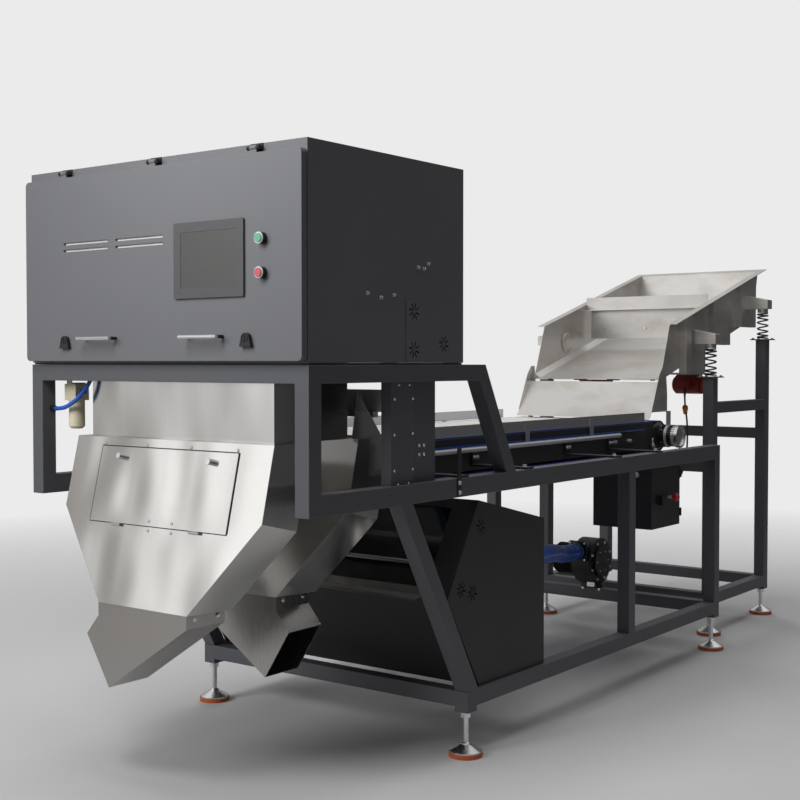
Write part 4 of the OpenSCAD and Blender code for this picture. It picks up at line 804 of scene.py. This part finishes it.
shop = Workshop()
for x, axis in both_sides(COLUMN_X):
    for y, z in COLUMN_SCREWS:
        pan_screw(shop, at(x, y, z), axis)
for x, axis in both_sides(REAR_COLUMN_X):
    for y, z in REAR_COLUMN_BOLTS:
        pan_screw(shop, at(x, y, z), axis, 6)
shop.finish("column_screws", "machine", zinc)

shop = Workshop()
for y, z in CABINET_STUDS:
    shop.lathe(at(CABINET_X, y, z), RIGHT, STUD, 16)
shop.finish("cabinet_studs", "machine", zinc)

# %% [markdown]
# ## Rivets on the hopper
# The access door hangs on two riveted hinges at its foot, and a riveted strip closes over its head.
# The front plate leans, so the rivets take their depth and their direction from the plate's slope.

# %% Hopper rivets and spout bolts
HOPPER_Z, HOPPER_LEAN, HOPPER_Y = 1217, 140 / 580, 57
PLATE_WAY = Vector((0, -1, HOPPER_LEAN)).normalized()
STRIP_XS, STRIP_Z = (-338, -113, 113, 338), 1194
LEAF_XS, FIXED_LEAF_Z, DOOR_LEAF_Z, DOOR_PROUD = (-34, 83), 900, 932, 3.3
SPOUT_X, SPOUT_BOLTS = 225, [(-47, 622), (64, 620), (401, 622), (508, 621)]


def on_plate(x, z, proud=0.0):
    return at(x, HOPPER_Y - (HOPPER_Z - z) * HOPPER_LEAN, z) + PLATE_WAY * proud * MM


shop = Workshop()
for x in STRIP_XS:
    rivet(shop, on_plate(x, STRIP_Z), PLATE_WAY)
for x in LEAF_XS:
    rivet(shop, on_plate(x, FIXED_LEAF_Z), PLATE_WAY)
shop.finish("hopper_rivets", "machine", zinc)

shop = Workshop()
for x in LEAF_XS:
    rivet(shop, on_plate(x, DOOR_LEAF_Z, DOOR_PROUD), PLATE_WAY)
shop.finish("hopper_door_rivets", "hopper_door", zinc)

shop = Workshop()
for x, axis in both_sides(SPOUT_X):
    for y, z in SPOUT_BOLTS:
        hex_bolt(shop, at(x, y, z), axis, 13, 5)
shop.finish("spout_bolts", "machine", zinc)

# %% [markdown]
# ## Seals and painted shade in the gaps
# A thin black strip runs round the access door, and a dark strip fills the gap that the
# cabinet's mounting pads leave above the beams. Both show only as dark lines and stand for the
# shade
# in those gaps: painted shade, the door's strip partly a real seal. Without them light falls
# through the gaps.

# %% Seals and painted gap shade
ACCESS_HALF, ACCESS_TOP, ACCESS_FOOT = 346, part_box("hopper_door")[1][2] / MM, 917
SEAL_SHADE_W, SEAL_SHADE_T, HINGE_XS, HINGE_HALF = 3.2, 2.6, (-200, 200), 24
plate_spin = Matrix((RIGHT, PLATE_WAY.cross(Vector(RIGHT)), PLATE_WAY)).transposed()


def seal_and_shade_strip(shop, long, wide, x, z):
    shop.plate(rounded_bar(long, wide, 1), SEAL_SHADE_T, on_plate(x, z), plate_spin)


# Black strip round the access door: partly a real seal, partly painted shade for the dark gap round
# the door.
shop = Workshop()
reach = ACCESS_HALF + 0.6 + SEAL_SHADE_W / 2
seal_and_shade_strip(shop, 2 * reach, SEAL_SHADE_W, 0, ACCESS_TOP + SEAL_SHADE_W / 2)
tall = (ACCESS_TOP - ACCESS_FOOT) / plate_spin.col[1].z
for side in (1, -1):
    seal_and_shade_strip(shop, SEAL_SHADE_W, tall, side * reach, (ACCESS_TOP + ACCESS_FOOT) / 2)
stops = [-reach] + [x + s * HINGE_HALF for x in HINGE_XS for s in (-1, 1)] + [reach]
for low, high in zip(stops[::2], stops[1::2]):
    seal_and_shade_strip(shop, high - low, SEAL_SHADE_W, (low + high) / 2, ACCESS_FOOT - SEAL_SHADE_W)
shop.finish("access_seal_and_gap_shade", "machine", black_plastic)

# Dark strip in the gap above the beams: painted shade for that gap.
GAP_SHADE_Z, GAP_SHADE_H = 1483.2, 6.6
shop = Workshop()
for side in (1, -1):
    shop.plate(rounded_bar(6, 861, 2), GAP_SHADE_H, at(side * 691.5, 436.5, GAP_SHADE_Z))
shop.plate(rounded_bar(1376, 8, 2), GAP_SHADE_H, at(0, 9, GAP_SHADE_Z))
shop.finish("cabinet_gap_shade", "machine", cable_rubber)

# %% [markdown]
# ## Conveyor hardware
# Flange bearings are bolted to the side plates, brackets to the long beams, and take-up screws near
# the tail set the belt's tension. Blue wear strips run along both plates under the guards, and a
# bright half-round moulding along the edge strips.

# %% Conveyor bolts
PLATE_X, AXLE_Z, BEAM_X, BEAM_TOP, BEAM_SIDE = 423, 1106, 668, 1062, 704
BEARING_YS, BRACKET_YS = (800, 3113), (864, 1331, 2100, 2517)
BEARING_FACE, BEARING_CIRCLE, BRACKET_T = 12, 43, 8
SOCKET_HEAD = [(5, SUNK), (5, 6), (4.4, 6.8), (2.8, 6.8), (2.6, 4)]

shop = Workshop()
for x, axis in both_sides(PLATE_X + BEARING_FACE):
    for y in BEARING_YS:
        for place in round_the_axle(x, y, AXLE_Z, BEARING_CIRCLE, 4, 45):
            shop.lathe(place, axis, SOCKET_HEAD, 14)
for x, axis in both_sides(PLATE_X + BRACKET_T):
    for y in BRACKET_YS:
        hex_bolt(shop, at(x, y + 14, 1098), axis, 13, 6)
        hex_bolt(shop, at(x, y + 36, 1098), axis, 13, 6)
for x in (-BEAM_X, BEAM_X):
    for y in BRACKET_YS:
        hex_bolt(shop, at(x, y + 25, BEAM_TOP + BRACKET_T), UP, 16, 7)
for x, axis in both_sides(BEAM_SIDE):
    hex_bolt(shop, at(x, 840, 1046), axis, 13, 6)
    hex_bolt(shop, at(x, 840, 1010), axis, 13, 6)
shop.finish("conveyor_bolts", "machine", zinc)

# %% Take-up screws and wear strips
BLOCK_H = Vector((0, 0, 16)) * MM

shop = Workshop()
for x, axis in both_sides(PLATE_X):
    hex_bolt(shop, at(x, 2600, 1098), axis, 18, 9)
    for y in (2742, 2760):
        hex_bolt(shop, at(x, y, 1097), axis, 16, 8)
    block = at(x + axis[0] * 12, 2989, 1048)
    shop.plate(rounded_bar(24, 34, 3), 16, block)
    shop.lathe(block + BLOCK_H, UP, [(6, 0), (6, 34), (5, 36)], 16)
    hex_bolt(shop, block + BLOCK_H, UP, 18, 9)
shop.finish("take_up_screws", "machine", zinc)

shop = Workshop()
for side in (1, -1):
    shop.plate(rounded_bar(5, 2050, 2), 6, at(side * 425.6, 1885, 1144))
shop.finish("wear_strips", "machine", blue_plastic)

shop = Workshop()
for side in (1, -1):
    run = [at(side * 432, y, 1131) for y in (862, 863, 2636, 2637)]
    shop.sweep(run, [0.007, 0.009, 0.009, 0.007], 16)
shop.finish("edge_mouldings", "machine", satin_aluminium, smooth=50)

# %% [markdown]
# ## Feeder hardware
# The trough has a pressed boss in its left wall, three bolts across the gate, black sealing pads
# under its lip, and a bolted plate under each spring. Welded plates close its ears at both ends.

# %% Feeder bolts, boss and pads
POST_XS, FRONT_POST_Y, REAR_POST_Y = {"right": 514, "left": -514}, 3531, 4277
SPRINGS = {"front_springs": FRONT_POST_Y, "rear_springs": REAR_POST_Y}
GATE_FRONT, GATE_BOLT_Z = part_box("feeder_gate")[0][1] / MM + MID_Y, 1690
BOSS = [(58, SUNK), (54, 3), (44, 7), (30, 9), (14, 9.5), (4, 9.5)]
PAD_SPANS, PAD_Y, PAD_Z = ((-295, -266), (-128, -49), (74, 150), (332, 358)), 3173.2, 1396

shop = Workshop()
shop.lathe(at(-382, 3537, 1607), RIGHT, BOSS, 40)
shop.finish("trough_boss", "feeder", trough_steel, smooth=60)

EAR_IN, EAR_OUT, EAR_HALF, EAR_PLATE = 387.5, 556, 32, 3
EAR_SHAPE = ((EAR_IN, 0), (EAR_OUT, 0), (EAR_OUT, 52), (EAR_IN, 86))
UPRIGHT = Matrix((RIGHT, UP, FRONT)).transposed()
shop = Workshop()
for side in (1, -1):
    outline = [(side * x, z) for x, z in EAR_SHAPE]
    for y, z in ((FRONT_POST_Y, 1590), (REAR_POST_Y, 1804)):
        shop.plate(outline, EAR_PLATE, at(0, y - EAR_HALF, z), UPRIGHT)
        shop.plate(outline, EAR_PLATE, at(0, y + EAR_HALF + EAR_PLATE, z), UPRIGHT)
shop.finish("ear_plates", "feeder", trough_steel)

shop = Workshop()
for x in (-272, 0, 272):
    hex_bolt(shop, at(x, GATE_FRONT, GATE_BOLT_Z), FRONT, 13, 6)
shop.finish("gate_bolts", "feeder_gate", zinc)

shop = Workshop()
for low, high in PAD_SPANS:
    pad = rounded_bar(high - low, 7, 2)
    shop.plate(pad, 3, at((low + high) / 2, PAD_Y, PAD_Z), facing(FRONT))
shop.finish("lip_pads", "feeder", black_plastic)

shop = Workshop()
for x in sorted(POST_XS.values()):
    for node, y in SPRINGS.items():
        for dx in (-42, 42):
            for dy in (-42, 42):
                place = at(x + dx, y + dy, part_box(node)[0][2] / MM)
                hex_bolt(shop, place, UP, 13, 6)
shop.finish("spring_plate_bolts", "machine", zinc)

# %% [markdown]
# ## Springs
# Each corner of the trough stands on a coil spring with tighter end turns, swept from the post up
# to the trough. On the machine its foot stays on the post while its head follows the shaking
# trough; here the coil is made without a body and stays where it is drawn. A curve with a bevel
# would give the same wire.

# %% Coil springs
COIL_R, WIRE_R, TURNS, TURN_STEPS, END_TIGHTEN = 29.5, 4.5, 6, 24, 0.5


def coil_spring(name, x, y, node):
    low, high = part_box(node)[0][2] / MM + WIRE_R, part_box(node)[1][2] / MM - WIRE_R
    steps = TURNS * TURN_STEPS
    wire = []
    for i in range(steps + 1):
        t, a = i / steps, 2 * math.pi * i / TURN_STEPS
        climb = t - END_TIGHTEN * math.sin(2 * math.pi * t) / (2 * math.pi)
        z = low + (high - low) * climb
        wire.append(at(x + COIL_R * math.cos(a), y + COIL_R * math.sin(a), z))
    shop = Workshop()
    shop.sweep(wire, [WIRE_R * MM] * len(wire), 10)
    spring = shop.finish(name, None, spring_black, smooth=60)
    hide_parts(node)
    at(x, y, low)
    at(x, y, high)
    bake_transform(spring)


for side, x in POST_XS.items():
    coil_spring("front_spring_" + side, x, FRONT_POST_Y, "front_springs")
    coil_spring("rear_spring_" + side, x, REAR_POST_Y, "rear_springs")

# %% [markdown]
# ## Blower and air service
# The blower's cover is held by a ring of bolts, its motor is finned, and a flange joins the outlet
# to the hose. The air filter has blue push-in fittings on both sides of its head.

# %% Blower and filter details
BLOWER_Y, BLOWER_Z, COVER_X, HUB_RISE = 3200, 399, 25, 14
PORT_X, PORT_Z = -30, 467

shop = Workshop()
for place in round_the_axle(COVER_X, BLOWER_Y, BLOWER_Z, 105, 8, 22.5):
    hex_bolt(shop, place, RIGHT, 13, 6)
for place in round_the_axle(COVER_X + HUB_RISE, BLOWER_Y, BLOWER_Z, 58, 6):
    pan_screw(shop, place, RIGHT, 4)
for dx in (-44, 44):
    for dz in (-44, 44):
        hex_bolt(shop, at(PORT_X + dx, 3040, PORT_Z + dz), FRONT, 10, 5)
shop.plate(rounded_bar(46, 28, 4), 22, at(-7, 3170, 276), facing(FRONT))
for x in (-66, 34):
    hex_bolt(shop, at(x, 3170, 247), FRONT, 13, 6)
shop.finish("blower_bolts", "machine", zinc)

shop = Workshop()
shop.plate(rounded_bar(112, 112, 14), 6, at(PORT_X, 3046, PORT_Z), facing(FRONT))
shop.finish("hose_flange", "machine", black_enamel)

FIN_COUNT, FIN_PITCH, FIN_X = 9, 15, -224
shop = Workshop()
for k in range(FIN_COUNT):
    place = at(FIN_X + FIN_PITCH * k, BLOWER_Y, BLOWER_Z)
    shop.lathe(place, RIGHT, [(80, 0), (86, 1), (86, 3), (80, 4)], 32)
shop.finish("motor_fins", "machine", black_enamel)

shop = Workshop()
for x, way in ((-526, 1), (-590, -1)):
    push_fitting(shop, at(x, 96, 1380), Vector((way, 0, 0)), 6)
shop.finish("filter_fittings", "machine", blue_plastic)

# %% [markdown]
# ## Light bars and glands
# Behind the door's slots sit two pale light bars on black end blocks, which show through as grey
# lines. A white gland closes the cable hole in the front of the electrical box.

# %% Light bars and gland
SLOT_XS, SLOT_MID_Z, BAR_L, BAR_BACK = (-345, -58), 1913.5, 247, -16
END_SET, END_DEEP = BAR_L / 2 + 3.7, 10.2
shop, ends = Workshop(), Workshop()
for x in SLOT_XS:
    shop.plate(rounded_bar(BAR_L, 46, 5), 6, at(x, BAR_BACK, SLOT_MID_Z), facing(FRONT))
    for dx in (-END_SET, END_SET):
        place = at(x + dx, BAR_BACK, SLOT_MID_Z)
        ends.plate(rounded_bar(8, 40, 2), END_DEEP, place, facing(FRONT))
shop.finish("light_bars", "cabinet_door", lamp_diffuser)
ends.finish("light_bar_ends", "cabinet_door", black_plastic)

shop = Workshop()
gland = at(560, 2562, 947)
shop.lathe(gland, FRONT, [(15, SUNK), (16, 1), (16, 8), (13, 9)], 6)
shop.lathe(gland, FRONT, [(12, 8), (12.5, 10), (12.5, 20), (9, 24), (4, 24.5)], 20)
shop.finish("box_gland", "machine", white_plastic)

# %% [markdown]
# ## Floor and light
# The machine stands on a plain pale floor that fades out into an even backdrop. A large soft lamp
# at the front left and a small one before the door light its face; the right side only gets what
# the lamps above and behind and the room give it, as in the picture. The room that metal mirrors is
# pale towards the front left, with one bright window, and dark to the right.

# %% Floor
FLOOR_HALF = 14
floor_mesh = bpy.data.meshes.new("floor")
corners = [(x * FLOOR_HALF, y * FLOOR_HALF, 0) for x, y in ((-1, -1), (1, -1), (1, 1), (-1, 1))]
floor_mesh.from_pydata(corners, [], [(0, 1, 2, 3)])
floor = bpy.data.objects.new("floor", floor_mesh)
bpy.context.scene.collection.objects.link(floor)

floor_paint = Finish("studio_floor", "coat", Roughness=0.7, Specular_IOR_Level=0.1)
FADE_FROM, FADE_TO = 2.6, 7.5
grey = floor_paint.mix(floor_paint.noise(0.6, detail=2), tint((0.60,) * 3), tint((0.64,) * 3))
floor_paint.wear("Base Color", grey)
away = floor_paint.vector("LENGTH", floor_paint.place, out="Value")
clear = floor_paint.node("ShaderNodeBsdfTransparent")
solid = Value(floor_paint, floor_paint.shader.outputs[0])
fade = floor_paint.step(away, FADE_FROM, FADE_TO)
blend = floor_paint.node("ShaderNodeMixShader", None, {0: fade, 1: solid, 2: clear})
floor_paint.feed(floor_paint.tree.nodes["Material Output"].inputs["Surface"], blend)
floor_mesh.materials.append(floor_paint.material)
print("floor half width", FLOOR_HALF, "m")

# %% Lamps


def lamp(name, place, target, size, power):
    data = bpy.data.lights.new(name, "AREA")
    data.shape = "RECTANGLE"
    data.size, data.size_y = size
    data.energy = power
    light = bpy.data.objects.new(name, data)
    bpy.context.scene.collection.objects.link(light)
    aim = (Vector(target) - Vector(place)).to_track_quat("-Z", "Y").to_matrix().to_4x4()
    light.matrix_world = Matrix.Translation(Vector(place)) @ aim
    light.visible_glossy = light.visible_camera = False


lamp("key", (-2.6, -8.6, 4.4), (0, -1.6, 1.1), (4.0, 3.0), 380)
lamp("door", (0.3, -3.5, 2.9), (0.4, -2.26, 1.95), (0.8, 0.8), 26)
lamp("top", (0.0, 0.5, 6.0), (0, 0.5, 0), (5.0, 7.0), 220)
lamp("back", (-6.0, 7.0, 4.0), (0, 0.5, 1.0), (4.0, 3.0), 230)
print("lamps placed")

# %% Room
LEFT_WALL, DOORWAY, WINDOW = (-0.85, -0.35, 0.35), (-0.64, -0.768, 0.0), (-0.479, -0.829, 0.287)
WINDOW_GLARE = 1.54

world = bpy.data.worlds.new("studio")
bpy.context.scene.world = world
world.use_nodes = True
room = Tree(world.node_tree)
seen = room.node("ShaderNodeLightPath", out="Is Camera Ray")
mirrored = room.node("ShaderNodeLightPath", out="Is Glossy Ray")
through = room.node("ShaderNodeLightPath", out="Is Transmission Ray")
way = room.node("ShaderNodeTexCoord", out="Generated")
upward = room.part(way, "Z")
leftward = room.step(room.dot(way, LEFT_WALL), -0.6, 0.5)
glow = room.step(room.dot(way, DOORWAY), 0.975, 0.998)
window = room.step(room.dot(way, WINDOW), 0.935, 0.955)
wall = room.mix(leftward, tint((0.055, 0.055, 0.058)), tint((0.36, 0.345, 0.33)))
ceiling = room.mix(room.step(upward, 0.35, 0.75), wall, tint((0.85,) * 3))
horizon = room.mix(glow, ceiling, tint((0.95,) * 3))
gradient = room.mix(window, horizon, [WINDOW_GLARE] * 3 + [1])
lit = room.mix(mirrored, tint((0.065, 0.065, 0.07)), gradient)
backdrop = world.node_tree.nodes["Background"].inputs
room.feed(backdrop["Color"], room.mix(seen + through, lit, tint((0.83,) * 3)))
backdrop["Strength"].default_value = 1.0
bpy.context.scene.view_settings.view_transform = "Standard"
print("room set")
